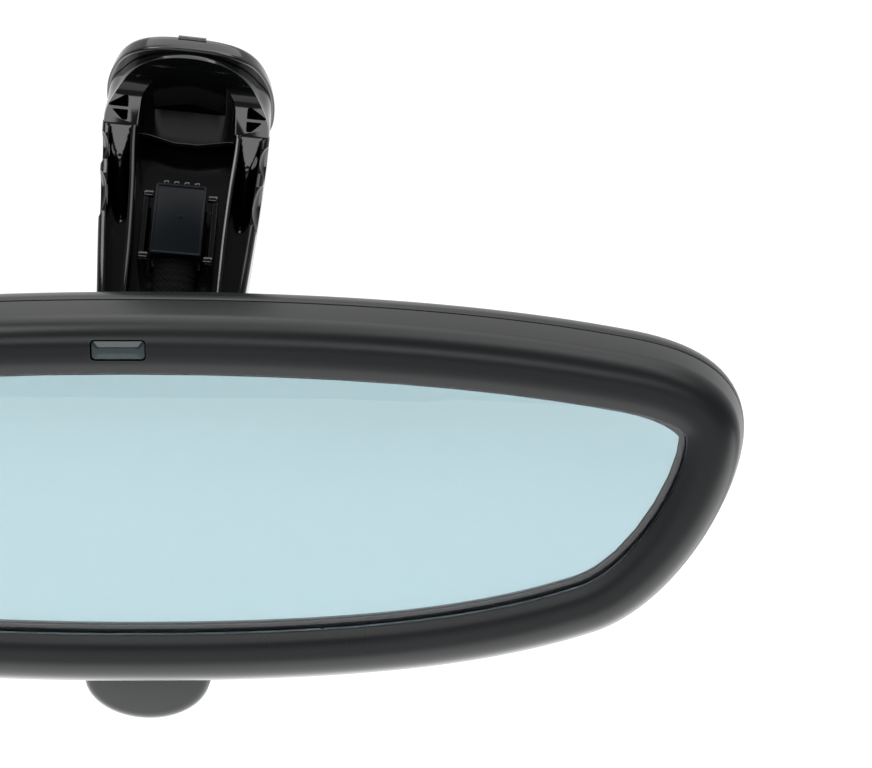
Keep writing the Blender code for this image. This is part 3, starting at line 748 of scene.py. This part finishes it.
def rear_housing():
    """Back shell: rounded wall behind the seam, the pod, the back and the hump round the ball."""
    start = HOUSING_START
    # Rim behind the seam: offset and depth, and from the pod on its inset and lean
    rings = [
        head_ring(-0.3, start),
        head_ring(0.05, start + 0.03),
        head_ring(0.15, start + 0.14),
        head_ring(0.15 + 0.5 * BULGE, start + 1.0),
        pod_ring(0.18 + 0.65 * BULGE, start + 1.35, 2.2, 1.5),
        pod_ring(0.2 + 0.7 * BULGE, start + 1.5, 1.4, 1.6),
        pod_ring(0.25 + 0.8 * BULGE, start + 1.85, 0.7, 1.7),
        pod_ring(0.3 + 0.9 * BULGE, start + 2.5, 0.22, 1.6),
        pod_ring(0.38 + BULGE, start + 3.4, 0.0, 1.4),
        pod_ring(0.46 + BULGE, start + 4.6, 0.0, 0.9),
        pod_ring(0.42 + BULGE, start + 5.2, 0.0, 0.6),
    ]
    steps = 12
    for k in range(1, steps + 1):
        turn = k / steps
        ring = back_ring(POD_SHARE * turn, 0.0)
        path = pod_path(3.2 * max(turn - 0.45, 0.0) ** 2 / 0.3)
        reach = 1.0 - smooth_step(0.72, 1.0, turn)
        level = WALL_DEPTH + (POD_BACK - WALL_DEPTH) * math.sin(turn * math.pi / 2)
        for j in range(POD_SAMPLES):
            plain = Vector(ring[RIM_SAMPLES + j])
            out = Vector((path[j].x, level, path[j].y))
            ring[RIM_SAMPLES + j] = tuple(plain.lerp(out, reach))
        rings.append(ring)
    steps = 36
    for k in range(1, steps + 1):
        rings.append(back_ring(POD_SHARE + (1.0 - POD_SHARE) * k / steps, 0.0))
    steps = 16
    first = 0.09
    inner = [back_ring(first + (1.0 - first) * k / steps, WALL) for k in range(steps, -1, -1)]
    inner += [head_ring(-WALL, WALL_DEPTH - 2.0), head_ring(-WALL, start)]
    data = lofted(rings + inner, wrap=True)
    lens_low, lens_high = mm_box("ambient_sensor_lens")
    lens = (lens_low + lens_high) / 2
    grommet_low, grommet_high = mm_box("cable_grommet")
    grommet = (grommet_low + grommet_high) / 2
    port = turned([(4.1, 0.0), (4.1, 12.0)], (lens.x, lens.y - 1.5, lens.z), (0, 1, 0), 48)
    hole = turned([(3.5, -9.0), (3.5, 9.0)], grommet, (0, 1, 0), 48)
    data = boolean(data, [port, hole])
    return piece("rear_shell", data, HEAD, "head", "satin_charcoal", ["rear_housing"], sharp=38.0)


def pane(name, node, slot, edge, setback=0.0):
    """A sheet of glass with the head's outline and a ground edge, in a CAD sheet's place."""
    low, high = mm_box(node)
    low.y += setback
    rings = []
    steps = 6
    turns = [math.pi / 2 * k / steps for k in range(steps + 1)]
    for turn in turns:
        offset = -GLASS_INSET - edge * (1.0 - math.sin(turn))
        rings.append(head_ring(offset, low.y + edge * (1.0 - math.cos(turn))))
    for turn in turns:
        offset = -GLASS_INSET - edge * (1.0 - math.cos(turn))
        rings.append(head_ring(offset, high.y - edge * (1.0 - math.sin(turn))))
    data = lofted(rings)
    return piece(name, data, HEAD, "head", slot, [node], sharp=50.0)


def sensor_window():
    """Dark window with a broad bevel round a flat centre."""
    back = mm_box("glare_sensor_lens")[1].y
    rings = []
    for inset, depth, radius in ((0.0, back, 0.8), (0.0, 0.62, 0.8), (0.12, 0.34, 0.75),
                                 (1.15, 0.06, 0.6), (1.3, 0.02, 0.5), (1.5, 0.02, 0.45)):
        rings.append([(u, depth, v) for u, v in window_outline(inset, radius, 6)])
    data = lofted(rings)
    nodes = ["glare_sensor_lens"]
    return piece("sensor_window", data, HEAD, "head", "smoked_clear", nodes, sharp=25.0)


# ---------------------------------------------------------------- arm

# level, front, floor, back, outer half width, inner half width
ARM_STATIONS = (
    (6.0, 16.5, 17.6, 26.0, 11.0, 5.0),
    (14.0, 11.0, 14.0, 24.0, 12.5, 6.5),
    (24.0, 0.0, 9.5, 17.0, 14.6, 8.5),
    (34.0, -9.0, 5.5, 10.5, 16.4, 9.9),
    (38.0, -10.0, 5.5, 9.5, 16.7, 10.0),
    (52.0, -10.0, 5.5, 9.0, 17.9, 10.2),
    (66.0, -10.0, 5.5, 9.0, 18.9, 10.8),
    (78.0, -10.0, 5.5, 9.0, 19.6, 11.6),
    (86.0, -10.5, 5.5, 9.5, 19.8, 11.5),
    (92.4, -12.0, 5.5, 10.5, 19.4, 11.0),
)


def station(level):
    """Arm dimensions at a level, by a smooth curve through the stations."""
    rows = ARM_STATIONS
    k = 0
    while k < len(rows) - 2 and rows[k + 1][0] < level:
        k += 1
    span = rows[k + 1][0] - rows[k][0]
    t = min(max((level - rows[k][0]) / span, 0.0), 1.0)
    values = []
    for column in range(1, 6):
        slopes = []
        for j in (k, k + 1):
            before = max(j - 1, 0)
            after = min(j + 1, len(rows) - 1)
            rise = rows[after][column] - rows[before][column]
            slopes.append(rise / (rows[after][0] - rows[before][0]) * span)
        a, b = rows[k][column], rows[k + 1][column]
        h = t * t * (3.0 - 2.0 * t)
        values.append(
            a + (b - a) * h + slopes[0] * t * (1 - t) ** 2 - slopes[1] * t * t * (1 - t)
        )
    return values


# Thickness of the inner rib and of the outer skin beside each groove
RIB = 1.3
SKIN = 1.9
ARM_TOP = 81.0
# Each groove starts as a sloped facet that ends in a point, and then drops to its full depth
GROOVE_TOP = 80.0
FACET_LENGTH = 6.5
FACET_SHARE = 0.17
DROP_LENGTH = 13.0
# Oval hollows in the outer walls: level of the middle and half length, and how far their middle
# stands off the wall, their half height across it and their half width along y
SIDE_SCOOPS = ((74.0, 4.9), (61.8, 7.0))
SCOOP_OFF = 1.3
SCOOP_REACH = 3.3
SCOOP_WIDTH = 5.2


def groove_depth(level, across):
    """Share of the groove's full depth, which starts as a facet with its point mid-way across."""
    start = GROOVE_TOP - FACET_LENGTH * (1.0 - (2.0 * across - 1.0) ** 2)
    facet = FACET_SHARE * min(max((GROOVE_TOP - level) / FACET_LENGTH, 0.0), 1.0)
    drop = (1.0 - facet) * smooth_step(start, start - DROP_LENGTH, level)
    return (facet + drop) * smooth_step(20.0, 34.0, level)


def arm_ring(level):
    """Section across the arm: a centre channel, an inner rib and an outer skin on each side."""
    front, floor, back, outer, inner = station(level)
    near = inner + RIB
    far = outer - SKIN
    right = [
        (0.0, floor),
        (inner * 0.5, floor),
        (inner, floor),
        (inner, (floor + front) / 2),
        (inner, front + 0.3),
        (inner + 0.3, front),
        (near - 0.1, front),
    ]
    steps = 16
    for k in range(steps + 1):
        across = k / steps
        depth = groove_depth(level, across) * (floor - 1.5 - front)
        right.append((near + (far - near) * across, front + 0.05 + depth))
    lean = 0.5 * smooth_step(GROOVE_TOP, 70.0, level)
    right += [
        (far + 0.1, front + 0.05 + lean),
        (outer - 0.7, front + 0.15 + lean),
        (outer - 0.1, front + 0.8 + lean),
    ]
    steps = 5
    for k in range(steps):
        y = front + 2.0 + (back - front - 3.3) * k / (steps - 1)
        right.append((outer, y))
    right += [(outer - 0.4, back - 0.4), (outer - 1.4, back), (outer * 0.5, back), (0.0, back)]
    left = [(-x, y) for x, y in right[-2:0:-1]]
    return [(x, y, level) for x, y in right + left]


# Right half of the nose's plan under the foot: x, y, heading in degrees, handle in, handle out
NOSE_NODES = (
    (0.0, -22.9, 0.0, 0.0, 4.0),
    (10.4, -19.6, 34.0, 4.0, 3.0),
    (16.0, -13.0, 62.0, 3.5, 2.5),
    (19.45, -5.6, 80.0, 3.5, 3.0),
    (19.65, 4.0, 90.0, 3.0, 3.5),
    (13.0, 9.3, 180.0, 4.0, 4.0),
    (0.0, 9.3, 180.0, 5.0, 0.0),
)
# The same plan where the nose grows out of the flanges
ROOT_NODES = (
    (0.0, -22.9, 0.0, 0.0, 4.0),
    (13.0, -19.6, 25.0, 4.0, 3.0),
    (18.7, -12.0, 76.0, 3.5, 2.0),
    (19.6, -8.0, 88.0, 2.0, 3.0),
) + NOSE_NODES[4:]
# Side view of the flanges' sweep into the nose: y, z, corner radius
SWEEP = (
    (-10.0, 70.0, 0.0),
    (-10.0, 80.15, 1.0),
    (-13.3, 89.2, 9.0),
    (-20.0, 91.6, 9.0),
    (-27.0, 92.3, 0.0),
)
OPENING_TOP = 91.2


def nose_plan(inset, level):
    """Section through the nose: the flanges' width at its root, narrower under the foot."""
    rows = []
    shrink = 1.0 - inset / 20.0
    share = smooth_step(82.5, 90.5, level)
    for root, tip in zip(mirrored(ROOT_NODES, 14), mirrored(NOSE_NODES, 14)):
        point = root.lerp(tip, share) * shrink
        rows.append((point.x, point.y, level))
    return rows


def nose():
    """Upper end of the arm: flanges that sweep forward and meet in an arch under the foot."""
    low = ARM_TOP - 1.0
    top = FOOT_BASE - 0.1
    steps = 18
    levels = [low + (top - 0.2 - low) * k / steps for k in range(steps + 1)]
    rings = [nose_plan(0.15 * smooth_step(89.5, top, level), level) for level in levels]
    rings.append(nose_plan(0.3, top))
    data = lofted(rings)
    clear = -40.0
    trim = filleted(SWEEP, steps=10, closed=False) + [(clear, SWEEP[-1][1]), (clear, SWEEP[0][1])]
    inner = station(ARM_TOP)[4]
    opening = filleted([
        (-inner, low - 3.0, 0.0),
        (-inner + 0.6, OPENING_TOP - 3.8, 5.0),
        (-8.0, OPENING_TOP - 0.9, 4.0),
        (0.0, OPENING_TOP, 14.0),
        (8.0, OPENING_TOP - 0.9, 4.0),
        (inner - 0.6, OPENING_TOP - 3.8, 5.0),
        (inner, low - 3.0, 0.0),
    ], steps=10)
    return boolean(data, [prism(trim, -30.0, 30.0, "x"), prism(opening, -30.0, 5.5)])


def pocket_cutters():
    """Two small triangular pockets with a rib between them, in the front of each flange."""
    upper = [(13.9, 84.0, 0.25), (13.9, 87.2, 0.9), (18.6, 84.4, 0.5), (18.2, 84.0, 0.25)]
    lower = [(13.9, 83.4, 0.25), (17.8, 83.4, 0.3), (15.2, 81.1, 1.0), (13.9, 81.0, 0.7)]
    cutters = []
    for side in (-1.0, 1.0):
        for corners in (upper, lower):
            outline = filleted([(side * u, v, radius) for u, v, radius in corners], steps=4)
            cutters.append(prism(outline, -16.0, -7.2))
    return cutters


def scoop_cutters():
    """Ovals just through the outer walls that bite a little out of the flanges' front edges."""
    cutters = []
    for side in (-1.0, 1.0):
        for middle, half_length in SIDE_SCOOPS:
            centre = side * (station(middle)[3] + SCOOP_OFF)
            bm = bmesh.new()
            bmesh.ops.create_uvsphere(bm, u_segments=40, v_segments=28, radius=1.0)
            for vert in bm.verts:
                x, y, z = vert.co
                vert.co = (centre + x * SCOOP_REACH, -7.4 + y * SCOOP_WIDTH, middle + z * half_length)
            cutters.append(mesh_of(bm))
    return cutters


def ball_place(data):
    """Move a mesh drawn in the head's frame into the arm's frame."""
    scale = Matrix.Scale(MM, 4)
    data.transform(scale.inverted() @ ARM.inverted() @ HEAD @ scale)
    return data


def mirror_arm():
    """The moulded arm with its boss for the ball stud and its arched nose under the foot."""
    low = ARM_STATIONS[0][0]
    steps = 180
    levels = [low + (ARM_TOP - low) * k / steps for k in range(steps + 1)]
    data = lofted([arm_ring(level) for level in levels])
    boss = turned([(8.6, 17.3), (9.5, 18.2), (9.5, 24.4), (8.9, 25.0)], BALL, (0, 1, 0), 64)
    data = boolean(data, [nose(), ball_place(boss)], "UNION")
    tools = pocket_cutters() + scoop_cutters()
    # The stud's bore, then clearance round the housing's opening and round the nut
    for radius, near, far in ((4.3, 10.0, 40.0), (8.2, 9.0, 17.3), (9.6, 25.0, 40.0)):
        bore = turned([(radius, near), (radius, far)], BALL, (0, 1, 0), 48)
        tools.append(ball_place(bore))
    hole = [(SCREW_HOLE, 76.0), (SCREW_HOLE, 96.0)]
    for side in (-1.0, 1.0):
        tools.append(turned(hole, (side * SCREW_X, SCREW_Y, 0.0), (0, 0, 1), 24))
    data = boolean(data, tools)
    return piece("arm_casting", data, ARM, "arm", "gloss_black", ["mirror_arm"], sharp=48.0)


def channel_web():
    """Thin web across the channel under the top plate, with a sagging lower edge."""
    lower = [(-11.4, 82.5), (-9.4, 82.4), (-3.0, 80.9), (2.6, 80.9), (9.6, 82.4), (11.4, 82.5)]
    outline = lower + [(11.2, 90.0), (-11.2, 90.0)]
    data = prism(outline, -1.4, 0.0)
    obj = piece("channel_web", data, ARM, "arm", "gloss_black", [], sharp=35.0)
    return bevel(obj, 0.3, 4, 20.0)


def foot_plan(inset, level):
    """Plan of the foot: crowned front, round shoulders, flaring sides and a flat far edge."""
    nodes = (
        (0.0, -23.4, 0.0, 0.0, 8.0),
        (17.6, -14.0, 68.0, 9.0, 6.0),
        (20.6, 4.0, 90.0, 7.0, 5.0),
        (15.0, 16.0, 180.0, 5.0, 5.0),
        (0.0, 16.6, 180.0, 6.0, 0.0),
    )
    points = mirrored(nodes, 24)
    shrink = 1.0 - inset / 20.0
    return [(point.x * shrink, -3.0 + (point.y + 3.0) * shrink, level) for point in points]


def windscreen_foot():
    """The foot's body with rounded rims, the button recess, the tongue's notch and screw sinks."""
    rings = []
    for inset, level in ((0.5, FOOT_BASE), (0.22, FOOT_BASE + 0.08), (0.06, FOOT_BASE + 0.25),
                         (0.0, FOOT_BASE + 0.5), (0.1, FOOT_BASE + 1.1), (0.55, FOOT_TOP - 1.3),
                         (0.8, FOOT_TOP - 0.7), (1.15, FOOT_TOP - 0.2), (1.6, FOOT_TOP)):
        rings.append(foot_plan(inset, level))
    data = lofted(rings)
    recess = filleted([(-12, -17, 2.5), (12, -17, 2.5), (12, 11, 2.5), (-12, 11, 2.5)], steps=6)
    tools = [prism(recess, FOOT_BASE + 1.6, FOOT_TOP + 3.0, "z")]
    tools.append(block((-3.25, -30.0, FOOT_TOP - 1.2), (3.25, -15.0, FOOT_TOP + 3.0), 0.0))
    for side in (-1.0, 1.0):
        place = (side * SCREW_X, SCREW_Y, 0.0)
        tools.append(turned([(SCREW_HOLE, 85.0), (SCREW_HOLE, 110.0)], place, (0, 0, 1), 32))
        tools.append(turned([(3.6, FOOT_TOP - 2.4), (3.6, 110.0)], place, (0, 0, 1), 48))
    data = boolean(data, tools)
    obj = piece("foot_cap", data, ARM, "arm", "gloss_black", ["windscreen_foot"], sharp=35.0)
    return bevel(obj, 0.2, 2, 50.0)


def mount_spring():
    """Leaf that grips the windscreen button, with a rounded release tongue over the foot's rim."""
    floor = FOOT_BASE + 1.9
    leaf = filleted([
        (10.4, floor, 0.2),
        (-14.6, floor, 0.8),
        (-16.2, FOOT_TOP - 1.05, 0.8),
        (-22.9, FOOT_TOP - 1.0, 0.5),
        (-22.9, FOOT_TOP + 0.1, 0.7),
        (-15.6, FOOT_TOP + 0.1, 1.0),
        (-14.0, floor + 0.8, 0.8),
        (10.4, floor + 0.8, 0.2),
    ], steps=5)
    half_width = 3.2
    sheet = prism(leaf, -half_width, half_width, "x")
    wide = block((-10.6, -8.0, floor), (10.6, 9.6, floor + 0.8), 0.2, 2)
    data = boolean(sheet, [wide], "UNION")
    nodes = ["mount_spring"]
    obj = piece("mount_leaf", data, ARM, "arm", "steel", nodes, sharp=30.0, shade="spring_steel")
    return bevel(obj, 0.35, 3, 50.0)


def latch_ribs():
    """Row of small ribs across the top of the connector."""
    low = mm_box_in_arm("connector_latch")[0]
    pitch = 2.4
    parts = []
    for k in range(4):
        x = pitch * (k - 1.5)
        start = (x - 0.6, low.y + 0.7, low.z - 0.2)
        parts.append(block(start, (x + 0.6, low.y + 4.2, low.z + 0.9), 0.2, 2))
    start = (-4.6, low.y + 2.2, low.z - 0.1)
    parts.append(block(start, (4.6, low.y + 5.0, low.z + 0.5), 0.15, 2))
    data = joined(parts)
    return piece("latch_ribs", data, ARM, "arm", "gloss_black", ["connector_latch"], sharp=30.0)


def wiring_connector():
    """Connector body: a framed front face and a centre pip."""
    low, high = 49.0, 66.8
    width = 5.85
    front, back = -8.0, 1.5
    body = block((-width, front + 0.35, low), (width, back, high), 0.45)
    parts = [body]
    rim = 0.5
    for x0, x1, z0, z1 in ((-width, -width + rim, low, high), (width - rim, width, low, high),
                           (-width, width, high - rim, high), (-width, width, low, low + rim)):
        parts.append(block((x0, front, z0), (x1, front + 1.0, z1), 0.15, 2))
    pip = [(0.55, 0.6), (0.55, 0.15), (0.3, 0.0)]
    parts.append(turned(pip, (0.3, front, 58.7), (0, 1, 0), 20))
    # The connector wears a painted shade: a duller, darker-looking copy of the gloss black finish
    return piece("connector_body", joined(parts), ARM, "arm", "gloss_black", ["wiring_connector"],
                 sharp=30.0, shade="connector_painted_shade")


def connector_bracket():
    """Clip that holds the connector, with a rail and two end tabs on each side."""
    section = filleted([
        (-8.8, 5.2, 0.3), (-8.8, -5.5, 0.4), (-7.3, -5.5, 0.4), (-7.3, 2.6, 0.4),
        (7.3, 2.6, 0.4), (7.3, -5.5, 0.4), (8.8, -5.5, 0.4), (8.8, 5.2, 0.3),
    ], steps=3)
    parts = [prism(section, 48.0, 65.3, "z")]
    for side in (-1.0, 1.0):
        for z in (48.2, 64.0):
            low = (min(side * 6.3, side * 8.6), -6.6, z)
            high = (max(side * 6.3, side * 8.6), -5.0, z + 1.3)
            parts.append(block(low, high, 0.25, 2))
    data = joined(parts)
    return piece("connector_clip", data, ARM, "arm", "gloss_black", ["connector_bracket"], sharp=30.0)


def wiring_harness():
    """Flat sleeved harness from the connector down the channel."""
    path = curve_through([(0, -3.5, 48.7), (0, -3.5, 44), (0, -3.2, 38), (0, -1.0, 31), (0, 3.6, 24),
                          (0, 7.0, 19)], 10)
    radii = [2.55 + 0.12 * math.sin(k * 1.9) for k in range(len(path))]
    data = tube(path, radii, 48, 1.95)
    return piece("harness_sleeve", data, ARM, "arm", "black_sleeve", ["wiring_harness"], sharp=60.0)


def flexible_cable():
    """Cable from the arm to the grommet, in three fixed lengths, one across each of the three hinges."""
    start = HEAD.inverted() @ ARM @ (Vector((2.0, 7.0, 19.5)) * MM) / MM
    low, high = mm_box("head_cable")
    end = Vector(((low.x + high.x) / 2, high.y - 0.4, (low.z + high.z) / 2))
    knots = [
        start,
        start + Vector((3.0, -5.5, 1.5)),
        Vector((17.0, 39.5, 19.5)),
        Vector((25.0, 39.0, 20.5)),
        Vector((33.0, 41.0, 20.5)),
        end + Vector((-3.5, 5.5, 2.5)),
        end,
    ]
    samples = 20
    line = curve_through(knots, samples)
    cuts = (0, 3 * samples, 4 * samples, len(line) - 1)
    pairs = (("arm", "liner"), ("liner", "cup"), ("cup", "head"))
    for k, (body_a, body_b) in enumerate(pairs):
        part = line[cuts[k]:cuts[k + 1] + 1]
        data = tube(part, [1.6] * len(part), 28)
        obj = dressed(f"flex_cable_{k + 1}", data, HEAD, "black_sleeve")
        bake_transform(obj)


# ---------------------------------------------------------------- carried CAD nodes


def dress_cad_nodes():
    """Give every CAD node the procedural finish of its slot, and smooth shading."""
    slots = {row["node"]: row["material_slot"] for row in frame["record"]["subparts"]}
    for name, obj in frame["nodes"].items():
        obj.data.materials.clear()
        finish = "sensor_face" if name.endswith("sensor") else slots[name]
        obj.data.materials.append(finish_for(finish))
        for polygon in obj.data.polygons:
            polygon.use_smooth = True
        obj.data.set_sharp_from_angle(angle=math.radians(35.0))


# ---------------------------------------------------------------- stage


# Metres: the sweep's drop below the head, where it starts to bend up, and its bend's radius
SWEEP_DROP = 0.22
SWEEP_BEND_START = 1.2
SWEEP_BEND = 0.9
# Emission of the sweep, brighter in a painted pool of light under the mirror that fades between these y values
PAPER_GLOW = 0.88
PAINTED_LIGHT_POOL_GLOW = 4.0
PAINTED_LIGHT_POOL_NEAR = (-0.45, -0.2)
PAINTED_LIGHT_POOL_FAR = (0.15, 0.38)


def stage():
    """White sweep under and behind the mirror that glows, brighter in a painted pool of light under the mirror."""
    floor = mm_box("rear_housing")[0].z * MM - SWEEP_DROP
    reach = 3.0
    line = [(-reach, floor)]
    steps = 12
    for k in range(steps + 1):
        angle = math.pi / 2 * k / steps
        y = SWEEP_BEND_START + SWEEP_BEND * math.sin(angle)
        line.append((y, floor + SWEEP_BEND * (1.0 - math.cos(angle))))
    line.append((SWEEP_BEND_START + SWEEP_BEND, reach))
    bm = bmesh.new()
    rows = [[bm.verts.new((x, y, z)) for y, z in line] for x in (-reach, reach)]
    for k in range(len(line) - 1):
        bm.faces.new((rows[0][k], rows[1][k], rows[1][k + 1], rows[0][k + 1]))
    data = mesh_of(bm)
    data.shade_smooth()
    obj = add_object("sweep", data)
    obj.location = HEAD.translation
    made = Finish("sweep_glow_with_painted_light_pool")
    fibres = made.noise(40.0, 3.0)
    paper = made.mix_color(fibres, (0.99, 0.99, 0.99), (1.0, 1.0, 1.0))
    base = made.mix_color(fibres, (0.24, 0.24, 0.24), (0.26, 0.26, 0.26))
    made.feed(base, "Base Color")
    made.feed(paper, "Emission Color")
    made.set(Roughness=0.9)
    split = made.node("ShaderNodeSeparateXYZ")
    made.link(made.coordinates, split.inputs["Vector"])
    # Painted pool of light: the sweep glows brighter in a band under the mirror
    near = made.spread(split.outputs["Y"], 0.0, 1.0, *PAINTED_LIGHT_POOL_NEAR)
    far = made.spread(split.outputs["Y"], 1.0, 0.0, *PAINTED_LIGHT_POOL_FAR)
    painted_light_pool = made.node("ShaderNodeMath", operation="MULTIPLY")
    made.link(near, painted_light_pool.inputs[0])
    made.link(far, painted_light_pool.inputs[1])
    glow = made.spread(painted_light_pool.outputs["Value"], PAPER_GLOW, PAINTED_LIGHT_POOL_GLOW, 0.0, 1.0)
    made.feed(glow, "Emission Strength")
    data.materials.append(made.material)


def world_light():
    """Room light: dim in front of the mirror, bright overhead and behind it."""
    world = bpy.data.worlds.new("studio")
    world.use_nodes = True
    bpy.context.scene.world = world
    tree = world.node_tree
    place = tree.nodes.new("ShaderNodeTexCoord")
    split = tree.nodes.new("ShaderNodeSeparateXYZ")
    tree.links.new(place.outputs["Generated"], split.inputs["Vector"])
    mix = tree.nodes.new("ShaderNodeMath")
    mix.operation = "MULTIPLY_ADD"
    mix.inputs[1].default_value = 0.6
    tree.links.new(split.outputs["Z"], mix.inputs[0])
    tree.links.new(split.outputs["Y"], mix.inputs[2])
    ramp = tree.nodes.new("ShaderNodeMapRange")
    ramp.interpolation_type = "SMOOTHSTEP"
    ramp.inputs["From Min"].default_value = -0.15
    ramp.inputs["From Max"].default_value = 0.75
    ramp.inputs["To Min"].default_value = 0.16
    ramp.inputs["To Max"].default_value = 1.1
    tree.links.new(mix.outputs["Value"], ramp.inputs["Value"])
    background = tree.nodes["Background"]
    background.inputs["Color"].default_value = (1.0, 1.0, 1.0, 1.0)
    tree.links.new(ramp.outputs["Result"], background.inputs["Strength"])


def area_light(name, place, target, size, power):
    """A rectangular light in the head's frame, in metres."""
    data = bpy.data.lights.new(name, "AREA")
    data.shape = "RECTANGLE"
    data.size, data.size_y = size
    data.energy = power
    obj = add_object(name, data)
    obj.location = HEAD @ Vector(place)
    obj.rotation_euler = (Vector(target) - Vector(place)).to_track_quat("-Z", "Y").to_euler()


def lights():
    """Softboxes overhead and in front, placed to show in the flanks, shoulders and flanges."""
    area_light("overhead", (0.1, 0.35, 1.3), (0.0, 0.05, 0.0), (1.5, 1.0), 9.0)
    area_light("overhead_front", (0.1, -0.33, 1.25), (0.0, 0.0, 0.0), (1.5, 0.4), 5.0)
    area_light("upper_left", (-0.56, -0.5, 1.05), (0.0, 0.1, 0.08), (0.42, 0.42), 3.2)
    area_light("upper_right", (0.72, -0.4, 1.05), (0.0, 0.1, 0.08), (0.42, 0.42), 1.6)
    area_light("front", (-0.1, -1.2, 0.5), (0.0, 0.05, 0.05), (1.5, 0.36), 7.0)


def camera():
    """View from right of the head's centre and a little above, looking down."""
    pitch = math.radians(11.0)
    distance = 285.3
    target = Vector((63.1, 0.0, 25.6))
    forward = Vector((0.0, math.cos(pitch), -math.sin(pitch)))
    data = bpy.data.cameras.new("camera")
    data.sensor_width = 36.0
    data.lens = 59.16
    data.clip_start = 0.01
    obj = add_object("camera", data)
    obj.location = HEAD @ ((target - forward * distance) * MM)
    obj.rotation_euler = forward.to_track_quat("-Z", "Y").to_euler()
    bpy.context.scene.camera = obj


def build():
    dress_cad_nodes()
    bezel()
    rear_housing()
    pane("front_glass", "ec_front_glass", "clear_glass", 0.6)
    pane("mirror_glass", "ec_rear_glass", "mirror_silver", 0.3, 0.2)
    sensor_window()
    mirror_arm()
    channel_web()
    windscreen_foot()
    mount_spring()
    wiring_connector()
    latch_ribs()
    connector_bracket()
    wiring_harness()
    flexible_cable()
    stage()
    world_light()
    lights()
    camera()
    bpy.context.scene.view_settings.view_transform = "Standard"


build()


def plain(box):
    return [[float(value) for value in corner] for corner in box]
